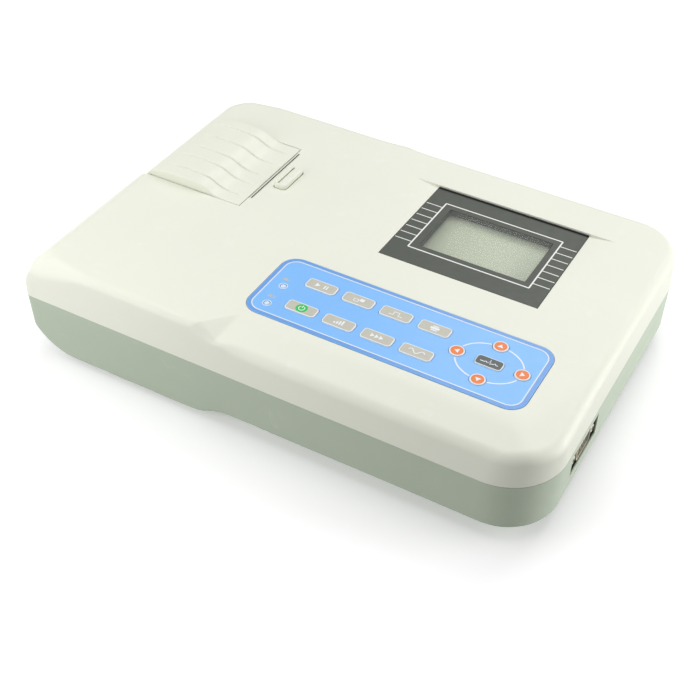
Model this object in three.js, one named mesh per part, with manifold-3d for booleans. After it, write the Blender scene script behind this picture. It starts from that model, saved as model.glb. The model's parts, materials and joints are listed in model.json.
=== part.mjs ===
// Single-channel ECG recorder, desk-top, with a thermal printer for 50 mm paper.
// Millimetres, +X to the user's right, +Y to the back, +Z up, Z = 0 at the soles of the rubber feet.
import * as THREE from 'three';
import { mergeVertices } from 'three/addons/utils/BufferGeometryUtils.js';
import { ConvexGeometry } from 'three/addons/geometries/ConvexGeometry.js';
import Module from 'manifold-3d';

const wasm = await Module();
wasm.setup();

// ---------------------------------------------------------------- driving dimensions
const WIDTH = 290;            // over the lip of the top shell
const DEPTH = 208;
const TOP = 57;               // height of the flat top above the desk
const SEAM = 37.4;            // height of the joint between the two shells
const RIGHT_BOTTOM = 9.8;     // underside of the main part of the bottom shell
const LEFT_BOTTOM = 3.5;      // underside of the deeper printer and battery end
const WALL = 2.4;
const CEILING = 2.6;
const GAP = 0.3;              // clearance between pieces that touch on the real machine
const CORNERS = { frontLeft: 4, frontRight: 30, backRight: 30, backLeft: 22 };
const CORNER_STEPS = 6;

const DRAFT = 17 * Math.PI / 180;       // lean of the top shell's walls
const CREST = 5;                        // round between the walls and the flat top
const LEAN = { left: 0.55, right: 1, front: 1.1, back: 0.9 };
const UPRIGHT = { left: 1, right: 1, front: 1, back: 1 };
const BELLY = { left: 1, right: 0.66, front: 0.28, back: 1 };

const SLOPE_BACK_Y = -79.8;             // where the sloped front strip leaves the flat top
const SLOPE_DROP = 0.271;               // fall of the strip per millimetre towards the front
const FACET_LEFT_X = -27.6;
const FACET_RIGHT_X = 122;

const COVER = { left: -142.6, right: -78.5, front: -1.7, back: 64.6, skin: 2.2, rise: 5.5 };
const HINGE = { x: -139.2, z: 47, barrel: 3.4 };
const ROLL = { x: -110, z: 36.5, radius: 19, front: 8.3, back: 58.3 };
const PLATEN = { x: -82.5, z: 48.8, radius: 4.5, front: 8.5, back: 58.5 };
const SLIT = { left: -78.1, right: -75.9, front: 7.4, back: 59.7 };

const GEAR_MODULE = 0.5;
const SMALL_TEETH = 14;
const IDLER_TEETH = 40;
const GEAR_FRONT = -0.9;
const GEAR_BACK = 1.9;
const GEAR_SPACING = 13.6;              // pitch radii plus running clearance
const IDLER = { x: PLATEN.x + 4.05, z: PLATEN.z - 12.98 };
const MOTOR = { x: IDLER.x + 11.57, z: IDLER.z - 7.15, radius: 12 };

const BUTTON = { left: -72.1, right: -64.7, front: 23.6, back: 44.4, proud: 1.8 };
const PANEL = { left: 7.3, right: 97, front: 0, back: 73.1, thick: 1.2, tilt: 1.2,
  ledge: 73.5, fade: 15 };
const WINDOW = { left: 22.3, right: 83.1, front: 17.2, back: 56.6 };
const KEYPAD = { left: -31.1, right: 119.5, front: -74.8, back: -26, thick: 0.7, corner: 9 };
const KEY = { width: 17, depth: 7.6, corner: 2, top: TOP + 0.5, bottom: 49.4 };
const KEY_X = [-3.6, 17.6, 38.8, 60];
const KEY_ROWS = { back: -40.9, front: -61 };
const DIAL = { x: 93.2, y: -50, across: 17, along: 13.5, radius: 3.9 };
const SET_KEY = { width: 14, depth: 7 };
const LAMPS = { power_lamp: [-20.8, -50.1], charge_lamp: [-20.8, -65.8] };
const CONNECTOR = { y: -46.3, z: 25.5, length: 30.8, height: 12.5, flange: 138,
  shell: 9.1, screws: 12.5, opening: 33.6 };
const REAR = { inlet: 100, rocker: 60, fuse: 36, ground: 18, z: 24.6 };
const BATTERY = { left: -98, right: -46, front: -90, back: -42 };
const FEET = { foot_front_left: [-106, -86], foot_back_left: [-106, 86],
  foot_front_right: [108, -78], foot_back_right: [108, 78] };

// ---------------------------------------------------------------- helpers
const rad = degrees => degrees * Math.PI / 180;

function solid(geometry) {
  geometry.deleteAttribute('normal');
  geometry.deleteAttribute('uv');
  const merged = mergeVertices(geometry, 1e-4);
  return new wasm.Manifold(new wasm.Mesh({
    numProp: 3,
    vertProperties: new Float32Array(merged.attributes.position.array),
    triVerts: new Uint32Array(merged.index.array),
  }));
}

function box(x0, x1, y0, y1, z0, z1) {
  const geometry = new THREE.BoxGeometry(x1 - x0, y1 - y0, z1 - z0);
  geometry.translate((x0 + x1) / 2, (y0 + y1) / 2, (z0 + z1) / 2);
  return solid(geometry);
}

function rodY(x, z, radius, y0, y1, sides = 20) {
  const geometry = new THREE.CylinderGeometry(radius, radius, y1 - y0, sides);
  geometry.translate(x, (y0 + y1) / 2, z);
  return solid(geometry);
}

function rodZ(x, y, radius, z0, z1, sides = 20, topRadius = radius) {
  const geometry = new THREE.CylinderGeometry(topRadius, radius, z1 - z0, sides);
  geometry.rotateX(Math.PI / 2);
  geometry.translate(x, y, (z0 + z1) / 2);
  return solid(geometry);
}

// A flat outline of [x, z] points, drawn out along Y.
function prismY(points, y0, y1) {
  const shape = new THREE.Shape(points.map(([x, z]) => new THREE.Vector2(x, z)));
  const geometry = new THREE.ExtrudeGeometry(shape, { depth: y1 - y0, bevelEnabled: false });
  geometry.rotateX(Math.PI / 2);
  geometry.translate(0, y1, 0);
  return solid(geometry);
}

// A three.js shape in the XY plane, drawn up from z0 to z1.
function slab(shape, z0, z1, steps = 4) {
  const options = { depth: z1 - z0, bevelEnabled: false, curveSegments: steps };
  const geometry = new THREE.ExtrudeGeometry(shape, options);
  geometry.translate(0, 0, z0);
  return solid(geometry);
}

function roundedShape(x0, x1, y0, y1, r) {
  const shape = new THREE.Shape();
  shape.moveTo(x0 + r, y0);
  shape.absarc(x1 - r, y0 + r, r, -Math.PI / 2, 0);
  shape.absarc(x1 - r, y1 - r, r, 0, Math.PI / 2);
  shape.absarc(x0 + r, y1 - r, r, Math.PI / 2, Math.PI);
  shape.absarc(x0 + r, y0 + r, r, Math.PI, 1.5 * Math.PI);
  return shape;
}

function join(...pieces) {
  return pieces.reduce((sum, piece) => sum.add(piece));
}

function cut(body, ...pieces) {
  return pieces.reduce((rest, piece) => rest.subtract(piece), body);
}

// Plan outline of the casing, moved in by an inset that each side takes in its own proportion.
function planOutline(inset, lean) {
  const x0 = -WIDTH / 2 + lean.left * inset;
  const x1 = WIDTH / 2 - lean.right * inset;
  const y0 = -DEPTH / 2 + lean.front * inset;
  const y1 = DEPTH / 2 - lean.back * inset;
  const corner = (x, y, turn, radius) => ({ x, y, turn, r: Math.max(radius - 0.8 * inset, 1.5) });
  const corners = [
    corner(x0, y0, 180, CORNERS.frontLeft),
    corner(x1, y0, 270, CORNERS.frontRight),
    corner(x1, y1, 0, CORNERS.backRight),
    corner(x0, y1, 90, CORNERS.backLeft),
  ];
  const points = [];
  for (const { x, y, turn, r } of corners) {
    const cx = x - Math.sign(x) * r;
    const cy = y - Math.sign(y) * r;
    for (let step = 0; step <= CORNER_STEPS; step++) {
      const angle = rad(turn + 90 * step / CORNER_STEPS);
      points.push([cx + r * Math.cos(angle), cy + r * Math.sin(angle)]);
    }
  }
  return points;
}

// Closed solid through plan outlines stacked from the bottom up, given as [inset, z] pairs.
function loft(levels, lean) {
  const count = 4 * (CORNER_STEPS + 1);
  const positions = [];
  const faces = [];
  for (const [inset, z] of levels) {
    for (const [x, y] of planOutline(inset, lean)) {
      positions.push(x, y, z);
    }
  }
  for (let level = 0; level + 1 < levels.length; level++) {
    for (let i = 0; i < count; i++) {
      const a = level * count + i;
      const b = level * count + (i + 1) % count;
      faces.push(a, b, b + count, a, b + count, a + count);
    }
  }
  const last = (levels.length - 1) * count;
  for (let i = 1; i + 1 < count; i++) {
    faces.push(0, i + 1, i);
    faces.push(last, last + i, last + i + 1);
  }
  const geometry = new THREE.BufferGeometry();
  geometry.setAttribute('position', new THREE.Float32BufferAttribute(positions, 3));
  geometry.setIndex(faces);
  return solid(geometry);
}

const group = new THREE.Group();

function add(name, manifold, color, roughness = 0.5, metalness = 0) {
  const mesh = manifold.getMesh();
  const geometry = new THREE.BufferGeometry();
  const positions = new Float32Array(mesh.vertProperties);
  geometry.setAttribute('position', new THREE.BufferAttribute(positions, 3));
  geometry.setIndex(new THREE.BufferAttribute(new Uint32Array(mesh.triVerts), 1));
  const material = new THREE.MeshStandardMaterial({ color, roughness, metalness });
  const piece = new THREE.Mesh(geometry, material);
  piece.name = name;
  group.add(piece);
}

const IVORY = 0xf0f3e4;
const SAGE = 0xb4bea9;
const CHARCOAL = 0x575e56;
const SKY = 0x80b9ff;
const STEEL = 0xb9bcc0;
const BLACK = 0x222426;
const BOARD = 0x1f6b3a;

// ---------------------------------------------------------------- top shell
// Lean of the wall at a height, measured in from the lip.
const wallInset = z => (z - SEAM) * Math.tan(DRAFT);

function topOuter() {
  const run = CREST * Math.tan((Math.PI / 2 - DRAFT) / 2);
  const centreInset = wallInset(TOP) + run;
  const levels = [[0, SEAM]];
  for (let step = 0; step <= 5; step++) {
    const angle = DRAFT + (Math.PI / 2 - DRAFT) * step / 5;
    levels.push([centreInset - CREST * Math.cos(angle), TOP - CREST + CREST * Math.sin(angle)]);
  }
  return loft(levels, LEAN);
}

// Everything that the sloped front strip takes off the top, bounded by a facet at each end.
function slopeCutter(lower) {
  const front = -DEPTH / 2 - 11;
  const reach = SLOPE_BACK_Y - front;
  const high = TOP + 3;
  const top = TOP - lower;
  const points = [];
  for (const [x, spreadTop, spreadLow] of [[FACET_LEFT_X, -0.91, -0.171], [FACET_RIGHT_X, 0.75, 0.35]]) {
    points.push([x, SLOPE_BACK_Y, top], [x, SLOPE_BACK_Y, high]);
    points.push([x + spreadTop * reach, front, top], [x + spreadTop * reach, front, high]);
    points.push([x + spreadLow * reach, front, top - SLOPE_DROP * reach]);
  }
  return solid(new ConvexGeometry(points.map(p => new THREE.Vector3(...p))));
}

function panelBlock(margin, z0, z1) {
  const halfX = (PANEL.right - PANEL.left) / 2 + margin;
  const length = PANEL.back - PANEL.front;
  const geometry = new THREE.BoxGeometry(2 * halfX, length + 2 * margin, z1 - z0);
  geometry.translate(0, length / 2, (z0 + z1) / 2);
  geometry.rotateX(-rad(PANEL.tilt));
  geometry.translate((PANEL.left + PANEL.right) / 2, PANEL.front, TOP);
  return solid(geometry);
}

// Shallow dip round the display, deepest along the ledge behind it and fading out to each side.
function ledgeWedge() {
  const deep = TOP - PANEL.ledge * Math.sin(rad(PANEL.tilt));
  const points = [];
  for (const [x, y, z] of [[PANEL.left, PANEL.front, TOP], [PANEL.right, PANEL.front, TOP],
    [PANEL.left, PANEL.ledge, deep], [PANEL.right, PANEL.ledge, deep],
    [PANEL.left - PANEL.fade, PANEL.ledge, TOP], [PANEL.right + PANEL.fade, PANEL.ledge, TOP]]) {
    points.push(new THREE.Vector3(x, y, z), new THREE.Vector3(x, y, TOP + 3));
  }
  return solid(new ConvexGeometry(points));
}

function keyShape(x, y, width, depth, margin) {
  const w = width / 2 + margin;
  const d = depth / 2 + margin;
  return roundedShape(x - w, x + w, y - d, y + d, KEY.corner + margin);
}

const KEYS = {};
for (const [row, names] of [['back', ['start_key', 'mode_key', 'calibration_key', 'print_key']],
  ['front', ['power_key', 'sensitivity_key', 'speed_key', 'filter_key']]]) {
  names.forEach((name, column) => {
    KEYS[name] = { x: KEY_X[column], y: KEY_ROWS[row], width: KEY.width, depth: KEY.depth };
  });
}
KEYS.set_key = { x: DIAL.x, y: DIAL.y, width: SET_KEY.width, depth: SET_KEY.depth };

const ARROWS = {
  left_key: [DIAL.x - DIAL.across, DIAL.y],
  right_key: [DIAL.x + DIAL.across, DIAL.y],
  up_key: [DIAL.x, DIAL.y + DIAL.along],
  down_key: [DIAL.x, DIAL.y - DIAL.along],
};

function keyHoles(z0, z1, margin) {
  const holes = Object.values(KEYS).map(
    k => slab(keyShape(k.x, k.y, k.width, k.depth, margin), z0, z1, 2));
  for (const [x, y] of Object.values(ARROWS)) {
    holes.push(rodZ(x, y, DIAL.radius + margin + 0.05, z0, z1, 16));
  }
  for (const [x, y] of Object.values(LAMPS)) {
    holes.push(rodZ(x, y, 1.5 + margin + 0.05, z0, z1, 12));
  }
  return holes;
}

const SCREW_POSTS = [[-128, -88], [124, -70], [124, 76], [-116, 84]];

function topShell() {
  const cavity = cut(
    loft([[WALL - 0.3, SEAM - 1], [WALL + wallInset(50), 50],
      [WALL + wallInset(TOP - CEILING) + 2.5, TOP - CEILING]], LEAN),
    slopeCutter(CEILING + 0.1));
  let body = cut(topOuter(), slopeCutter(0)).subtract(cavity);
  const frame = cut(
    box(PANEL.left - 4, PANEL.right + 4, PANEL.front - 4, PANEL.back + 5, 51.4, TOP - CEILING + 0.3),
    box(WINDOW.left - 3, WINDOW.right + 3, WINDOW.front - 3.4, WINDOW.back + 3.4, 50, TOP));
  body = body.add(frame);
  for (const [x, y] of SCREW_POSTS) {
    body = body.add(rodZ(x, y, 3.6, SEAM + 1.4, TOP - CEILING + 0.3, 12));
  }
  for (const [x, y] of [[-29, -72], [-29, -29], [74, -29], [74, -72]]) {
    body = body.add(rodZ(x, y, 2.4, 48.2, TOP - CEILING + 0.3, 10));
  }
  body = cut(body,
    panelBlock(GAP, -PANEL.thick - 2 * GAP, 5),
    ledgeWedge(),
    box(WINDOW.left - 3, WINDOW.right + 3, WINDOW.front - 3.4, WINDOW.back + 3.4, 50, TOP),
    slab(roundedShape(KEYPAD.left - GAP, KEYPAD.right + GAP, KEYPAD.front - GAP, KEYPAD.back + GAP,
      KEYPAD.corner + GAP), TOP - KEYPAD.thick - GAP, TOP + 2),
    ...keyHoles(TOP - CEILING - 2, TOP + 1, GAP),
    box(BUTTON.left - GAP, BUTTON.right + GAP, BUTTON.front - GAP, BUTTON.back + GAP, 53, TOP + 1),
    box(-150, -137, COVER.front - 0.4, COVER.back + 0.4, 42.9, TOP + 4),
    box(-137.5, COVER.right + 0.4, COVER.front - 0.4, COVER.back + 0.4, 50, TOP + 4),
    box(SLIT.left - 0.5, SLIT.right, SLIT.front, SLIT.back, 53, TOP + 1));
  for (const y of [24, 40]) {
    const lug = join(
      rodY(HINGE.x, HINGE.z, 3.3, y - 2, y + 2, 16),
      box(HINGE.x - 2.6, HINGE.x + 2.6, y - 2, y + 2, 41.6, HINGE.z),
      box(-144, HINGE.x + 3.3, y - 2, y + 2, 40.1, 42.6));
    body = body.add(cut(lug, rodY(HINGE.x, HINGE.z, 1.8, y - 3, y + 3, 12)));
  }
  return body;
}

// ---------------------------------------------------------------- bottom shell
function noseOutline(offset) {
  const left = -WIDTH / 2 + 1 + offset;
  const centreX = -114;
  const centreZ = 31;
  const low = LEFT_BOTTOM + offset;
  const points = [[left, SEAM + 8], [left, centreZ]];
  for (let step = 1; step <= 8; step++) {
    const angle = Math.PI + (Math.PI / 2) * step / 8;
    points.push([centreX + (centreX - left) * Math.cos(angle), centreZ + (centreZ - low) * Math.sin(angle)]);
  }
  points.push([-39.4 - 0.4 * offset, low], [-27.6 - 0.4 * offset, RIGHT_BOTTOM + offset]);
  points.push([WIDTH / 2 + 5, RIGHT_BOTTOM + offset], [WIDTH / 2 + 5, SEAM + 8]);
  return points;
}

function bottomShell() {
  const outer = loft([[2.9, 0], [0.8, SEAM - GAP]], BELLY)
    .intersect(prismY(noseOutline(0), -DEPTH, DEPTH));
  const inner = loft([[2.9 + WALL, 0], [0.8 + WALL, SEAM + 1]], UPRIGHT)
    .intersect(prismY(noseOutline(WALL), -DEPTH, DEPTH));
  const rim = cut(
    join(loft([[0.9, SEAM - 3], [0.8, SEAM - GAP]], UPRIGHT), loft([[4, SEAM - 3], [4, SEAM + 2.2]], UPRIGHT)),
    loft([[5.2, SEAM - 4], [5.2, SEAM + 3]], UPRIGHT));
  let body = cut(outer, inner).add(rim);
  for (const [x, y] of SCREW_POSTS) {
    body = body.add(cut(rodZ(x, y, 3.6, LEFT_BOTTOM, SEAM + 1, 12)
      .intersect(prismY(noseOutline(0.2), -DEPTH, DEPTH))));
  }
  for (const [x, y] of Object.values(FEET)) {
    if (x > 0) {
      body = body.add(rodZ(x, y, 8.4, LEFT_BOTTOM, RIGHT_BOTTOM + 1, 20, 9));
    }
  }
  for (const [x, y] of [[-22, -84], [112, -50], [-22, 12], [66, 12], [34, 68], [120, 30]]) {
    body = body.add(rodZ(x, y, 2.6, RIGHT_BOTTOM + 1, 17.6, 10));
  }
  const c = CONNECTOR;
  return cut(body,
    box(136, 150, c.y - c.opening / 2, c.y + c.opening / 2,
      c.z - c.height / 2 - 0.5, c.z + c.height / 2 + 0.5),
    box(REAR.inlet - 14, REAR.inlet + 14, 96, 110, REAR.z - 10.3, REAR.z + 10.3),
    box(REAR.rocker - 11, REAR.rocker + 11, 96, 110, REAR.z - 7.6, REAR.z + 7.6),
    rearRod(REAR.fuse, 6.4, 96, 110, 20),
    rearRod(REAR.ground, 3.4, 96, 110, 16),
    box(BATTERY.left, BATTERY.right, BATTERY.front, BATTERY.back, 0, 12));
}

function rearRod(x, radius, y0, y1, sides) {
  return rodY(x, REAR.z, radius, y0, y1, sides);
}

// ---------------------------------------------------------------- recorder cover
function coverOutline() {
  const rise = TOP + COVER.rise;
  const curve = new THREE.SplineCurve([
    [COVER.left, HINGE.z], [-142, 50.6], [-140.7, 54.2], [-138.4, 57.3], [-135.3, rise - 2.6],
    [-130.6, rise - 0.8], [-124, rise - 0.1], [-116.5, rise], [-109, rise - 0.3], [-104, rise - 1],
    [-100.2, rise - 2.5], [-97, rise - 4.1], [-93.8, rise - 5.1], [-90, TOP],
  ].map(([x, z]) => new THREE.Vector2(x, z)));
  const outer = curve.getPoints(26);
  outer.push(new THREE.Vector2(COVER.right, TOP));
  return outer;
}

function inward(points, distance) {
  return points.map((point, i) => {
    const before = points[Math.max(i - 1, 0)];
    const after = points[Math.min(i + 1, points.length - 1)];
    const along = after.clone().sub(before).normalize();
    return new THREE.Vector2(point.x + along.y * distance, point.y - along.x * distance);
  });
}

function recorderCover() {
  const outer = coverOutline();
  const inner = inward(outer, COVER.skin).reverse();
  const asPairs = points => points.map(p => [p.x, p.y]);
  const skin = prismY([...asPairs(outer), ...asPairs(inner)], COVER.front, COVER.back);
  const raised = asPairs(outer.filter(p => p.x > -137 && p.x < -91));
  const endWall = [...raised, [-91, 52], [-136.4, 52]];
  const walls = join(
    prismY(endWall, COVER.front, COVER.front + 2),
    prismY(endWall, COVER.back - 2, COVER.back));
  const ears = [2.4, 62.2].map(y => box(PLATEN.x - 4.2, -79.2, y, y + 2, 44.6, TOP - 1));
  const barrel = rodY(HINGE.x, HINGE.z, HINGE.barrel, COVER.front, COVER.back, 20);
  const body = join(skin, walls, ...ears, barrel);
  return cut(body,
    ...[24, 40].map(y => rodY(HINGE.x, HINGE.z, 4.2, y - 2.5, y + 2.5, 20)),
    rodY(HINGE.x, HINGE.z, 1.8, COVER.front - 1, COVER.back + 1, 12),
    rodY(PLATEN.x, PLATEN.z, 2.3, 0, 66, 16));
}

// ---------------------------------------------------------------- printer
function gear(teeth, x, z, firstTooth, bore) {
  const pitch = GEAR_MODULE * teeth / 2;
  const step = 2 * Math.PI / teeth;
  const points = [];
  for (let tooth = 0; tooth < teeth; tooth++) {
    const centre = firstTooth + tooth * step;
    for (const [share, radius] of [[-0.26, pitch - 0.6], [-0.11, pitch + 0.4],
      [0.11, pitch + 0.4], [0.26, pitch - 0.6]]) {
      const angle = centre + share * step;
      points.push([x + radius * Math.cos(angle), z + radius * Math.sin(angle)]);
    }
  }
  const body = prismY(points, GEAR_FRONT, GEAR_BACK);
  return bore ? cut(body, rodY(x, z, bore, GEAR_FRONT - 1, GEAR_BACK + 1, 16)) : body;
}

const smallStep = 2 * Math.PI / SMALL_TEETH;
const idlerStep = 2 * Math.PI / IDLER_TEETH;
const toIdler = Math.atan2(IDLER.z - PLATEN.z, IDLER.x - PLATEN.x);
const toMotor = Math.atan2(MOTOR.z - IDLER.z, MOTOR.x - IDLER.x);
const idlerFirst = toIdler + Math.PI + idlerStep / 2;
const idlerNearest = idlerFirst + Math.round((toMotor - idlerFirst) / idlerStep) * idlerStep;
const pinionFirst = toMotor + Math.PI + smallStep / 2
  - (idlerNearest - toMotor) * IDLER_TEETH / SMALL_TEETH;

// Paper tray and printer frame, moulded in one piece.
function printerChassis() {
  const { x, z } = ROLL;
  const front = 6.9;
  const back = 59.8;
  const trough = cut(
    join(rodY(x, z, 22.6, front - 1, back + 1, 36), box(x - 22.6, x + 22.6, front - 1, back + 1, z, 46)),
    rodY(x, z, 21, front - 2, back + 2, 36),
    box(x - 21, x + 21, front - 2, back + 2, z, 50),
    box(x - 30, x, front - 2, back + 2, 46, 62),
    box(x, x + 30, front - 2, back + 2, 42, 62));
  const side = [[x - 22.6, 49], [x - 22.6, 24], [x - 15, 13], [-52, 13], [-52, 53], [-88.5, 53], [-88.5, 49]];
  let plates = join(prismY(side, 4.9, front), prismY(side, back, back + 2));
  plates = cut(plates,
    box(x - 3.4, x + 3.4, 4, 63, z - 3.4, 60),
    box(PLATEN.x - 3.6, PLATEN.x + 3.2, 4, 63, 45.4, 60),
    box(-65.2, -57.8, 4, 63, 47.4, 60),
    rodY(MOTOR.x, MOTOR.z, 3.6, 4, 7.5, 16));
  const walls = join(
    box(-63.4, -61.4, front - 1, back + 1, 41.4, 47),
    box(-54, -52, front - 1, back + 1, 38, 53),
    box(-70.6, -62, 24.6, 31, 45.2, 47));
  const posts = [[-112, 12], [-112, 54], [-60, 54], [-92, 12]].map(
    ([px, py]) => rodZ(px, py, 3, 8.3, px < -100 ? 15 : 13.6, 10));
  const shelf = box(-62, -54, 50, back + 1, 13, 15);
  const tray = box(-96, -88, 8, 16, 13, 21);
  const axle = rodY(IDLER.x, IDLER.z, 1.5, GEAR_FRONT - 0.6, front - 1, 12);
  const body = join(trough, plates, walls, shelf, tray, axle, ...posts);
  return cut(body, rodY(x, z, 21, front, back, 36));
}

function platenShaft() {
  return join(
    rodY(PLATEN.x, PLATEN.z, 2, GEAR_FRONT - 0.3, 64.3, 16),
    rodY(PLATEN.x, PLATEN.z, 2.6, 4.9, 5.5, 16));
}

function helixAlong(axis, centre, start, end, radius, wire, turns) {
  const place = t => {
    const angle = 2 * Math.PI * turns * t;
    const along = start + wire + (end - start - 2 * wire) * t;
    const [a, b] = [centre[0] + radius * Math.cos(angle), centre[1] + radius * Math.sin(angle)];
    return axis === 'x' ? new THREE.Vector3(along, a, b) : new THREE.Vector3(a, b, along);
  };
  const steps = turns * 10;
  const path = new THREE.CatmullRomCurve3(Array.from({ length: steps + 1 }, (_, i) => place(i / steps)));
  const section = new THREE.Shape();
  section.absarc(0, 0, wire, 0, 2 * Math.PI);
  const options = { steps, bevelEnabled: false, extrudePath: path, curveSegments: 3 };
  return solid(new THREE.ExtrudeGeometry(section, options));
}

function latchBar() {
  const arms = [2.4, 62.2].map(y => prismY([
    [-80.8, 42.2], [-77, 42.2], [-77, 48.4], [-61, 48.4], [-61, 52], [-78.6, 52], [-78.6, 44.2], [-80.8, 44.2],
  ], y, y + 2));
  const bar = box(-64, -61, 2.4, 64.2, 48.4, 52);
  const wedge = prismY([[-61.5, 50.4], [-67.1, 50.4], [-69.1, 48.4], [-61.5, 48.4]], 31.6, 37);
  return join(bar, wedge, ...arms);
}

function releaseButton() {
  const b = BUTTON;
  const cap = slab(roundedShape(b.left, b.right, b.front, b.back, 1.6), 52.8, TOP + b.proud, 3);
  const flange = box(b.left - 0.9, b.right + 0.9, b.front - 1, b.back + 1, 52.8, TOP - CEILING - 0.4);
  const wedge = prismY([[-71, 53.4], [-64.9, 53.4], [-66, 52.3], [-69.7, 48.6], [-71, 48.6]], 31.6, 37);
  return join(cap, flange, wedge);
}

// ---------------------------------------------------------------- back-panel fittings and connector
function acInlet() {
  const x = REAR.inlet;
  const z = REAR.z;
  const flange = prismY([[x - 25, z], [x - 17, z - 11.4], [x + 17, z - 11.4], [x + 25, z], [x + 17, z + 11.4],
    [x - 17, z + 11.4]], 103.4, 105.2);
  const hood = box(x - 13.6, x + 13.6, 78, 104, z - 9.9, z + 9.9);
  const mouth = prismY([[x - 12, z - 7.8], [x + 12, z - 7.8], [x + 12, z + 4], [x + 8, z + 7.8],
    [x - 8, z + 7.8], [x - 12, z + 4]], 88, 108);
  const pins = [[-7, -1.5], [0, 2], [7, -1.5]].map(
    ([dx, dz]) => box(x + dx - 1, x + dx + 1, 86, 103, z + dz - 2, z + dz + 2));
  return join(cut(join(flange, hood), mouth), ...pins);
}

const ROCKER_TILT = rad(8);

function rockerFrame() {
  const x = REAR.rocker;
  const z = REAR.z;
  return cut(
    join(box(x - 12, x + 12, 103.4, 104.8, z - 8.6, z + 8.6), box(x - 10.6, x + 10.6, 86, 104, z - 7.2, z + 7.2)),
    box(x - 9.4, x + 9.4, 92, 108, z - 6, z + 6));
}

function powerRocker() {
  const points = [[-8.4, 4.2], [-8.4, -2], [-3, -6.5], [3, -6.5], [8.4, -2], [8.4, 4.2], [4, 3], [0, 2.4], [-4, 3]];
  const shape = new THREE.Shape(points.map(([a, b]) => new THREE.Vector2(a, b)).reverse());
  const geometry = new THREE.ExtrudeGeometry(shape, { depth: 11.2, bevelEnabled: false });
  geometry.translate(0, 0, -5.6);
  geometry.rotateZ(ROCKER_TILT);
  geometry.translate(REAR.rocker, 101.8, REAR.z);
  return solid(geometry);
}

function patientConnector() {
  const { y, z, length, height, flange, screws } = CONNECTOR;
  const half = length / 2;
  const plate = box(flange - 1, flange, y - half, y + half, z - height / 2, z + height / 2);
  const back = box(126, flange - 0.5, y - 10, y + 10, z - 5.2, z + 5.2);
  const dee = (grow, x0, x1) => {
    const [w, h] = [CONNECTOR.shell + grow, 4.1 + grow];
    const shape = new THREE.Shape([[-w + 1.6, -h], [w - 1.6, -h], [w, h], [-w, h]].map(
      ([a, b]) => new THREE.Vector2(a, b)));
    const geometry = new THREE.ExtrudeGeometry(shape, { depth: x1 - x0, bevelEnabled: false });
    const across = new THREE.Vector3(0, 1, 0);
    const up = new THREE.Vector3(0, 0, 1);
    geometry.applyMatrix4(new THREE.Matrix4().makeBasis(across, up, new THREE.Vector3(1, 0, 0)));
    geometry.translate(x0, y, z);
    return solid(geometry);
  };
  const shell = cut(dee(0.5, flange - 0.4, flange + 6), dee(0, flange + 0.2, flange + 7));
  const core = dee(-1, flange - 0.4, flange + 5);
  const rods = [-screws, screws].map(dy => {
    const geometry = new THREE.CylinderGeometry(2.4, 2.4, 5.4, 6);
    geometry.rotateZ(Math.PI / 2);
    geometry.translate(flange + 2.5, y + dy, z);
    return solid(geometry);
  });
  return join(plate, back, shell, core, ...rods);
}

// ---------------------------------------------------------------- assembly
add('top_shell', topShell(), IVORY, 0.42);
add('bottom_shell', bottomShell(), SAGE, 0.5);
add('recorder_cover', recorderCover(), IVORY, 0.42);
add('cover_hinge_pin', rodY(HINGE.x, HINGE.z, 1.5, COVER.front + 0.3, COVER.back - 0.3, 12), STEEL, 0.3, 1);
add('release_button', releaseButton(), IVORY, 0.4);
add('button_spring', helixAlong('z', [-67.9, 27.8], 47.2, 52.6, 2, 0.3, 4), STEEL, 0.3, 1);
add('latch_bar', latchBar(), STEEL, 0.35, 1);
add('latch_spring', helixAlong('x', [18, 50.2], -60.8, -54.2, 2, 0.3, 4), STEEL, 0.3, 1);
add('printer_chassis', printerChassis(), 0xd9dccf, 0.55);

add('platen_shaft', platenShaft(), STEEL, 0.3, 1);
add('platen_roller', cut(
  rodY(PLATEN.x, PLATEN.z, PLATEN.radius, PLATEN.front, PLATEN.back, 28),
  rodY(PLATEN.x, PLATEN.z, 2.3, 0, 70, 16)), 0x2b2b2b, 0.85);
add('platen_gear', gear(SMALL_TEETH, PLATEN.x, PLATEN.z, toIdler, 2.3), 0xe6e2d4, 0.5);
add('idler_gear', gear(IDLER_TEETH, IDLER.x, IDLER.z, idlerFirst, 1.8), 0xe6e2d4, 0.5);
add('motor_pinion', join(
  gear(SMALL_TEETH, MOTOR.x, MOTOR.z, pinionFirst, 0),
  rodY(MOTOR.x, MOTOR.z, 1, GEAR_BACK - 0.5, 16, 12)), STEEL, 0.35, 1);
add('feed_motor', cut(
  join(rodY(MOTOR.x, MOTOR.z, MOTOR.radius, 7.2, 22, 28), rodY(MOTOR.x, MOTOR.z, 3.2, 5.2, 8, 16)),
  rodY(MOTOR.x, MOTOR.z, 1.4, 4, 17, 12)), 0x9a9da1, 0.4, 1);

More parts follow.
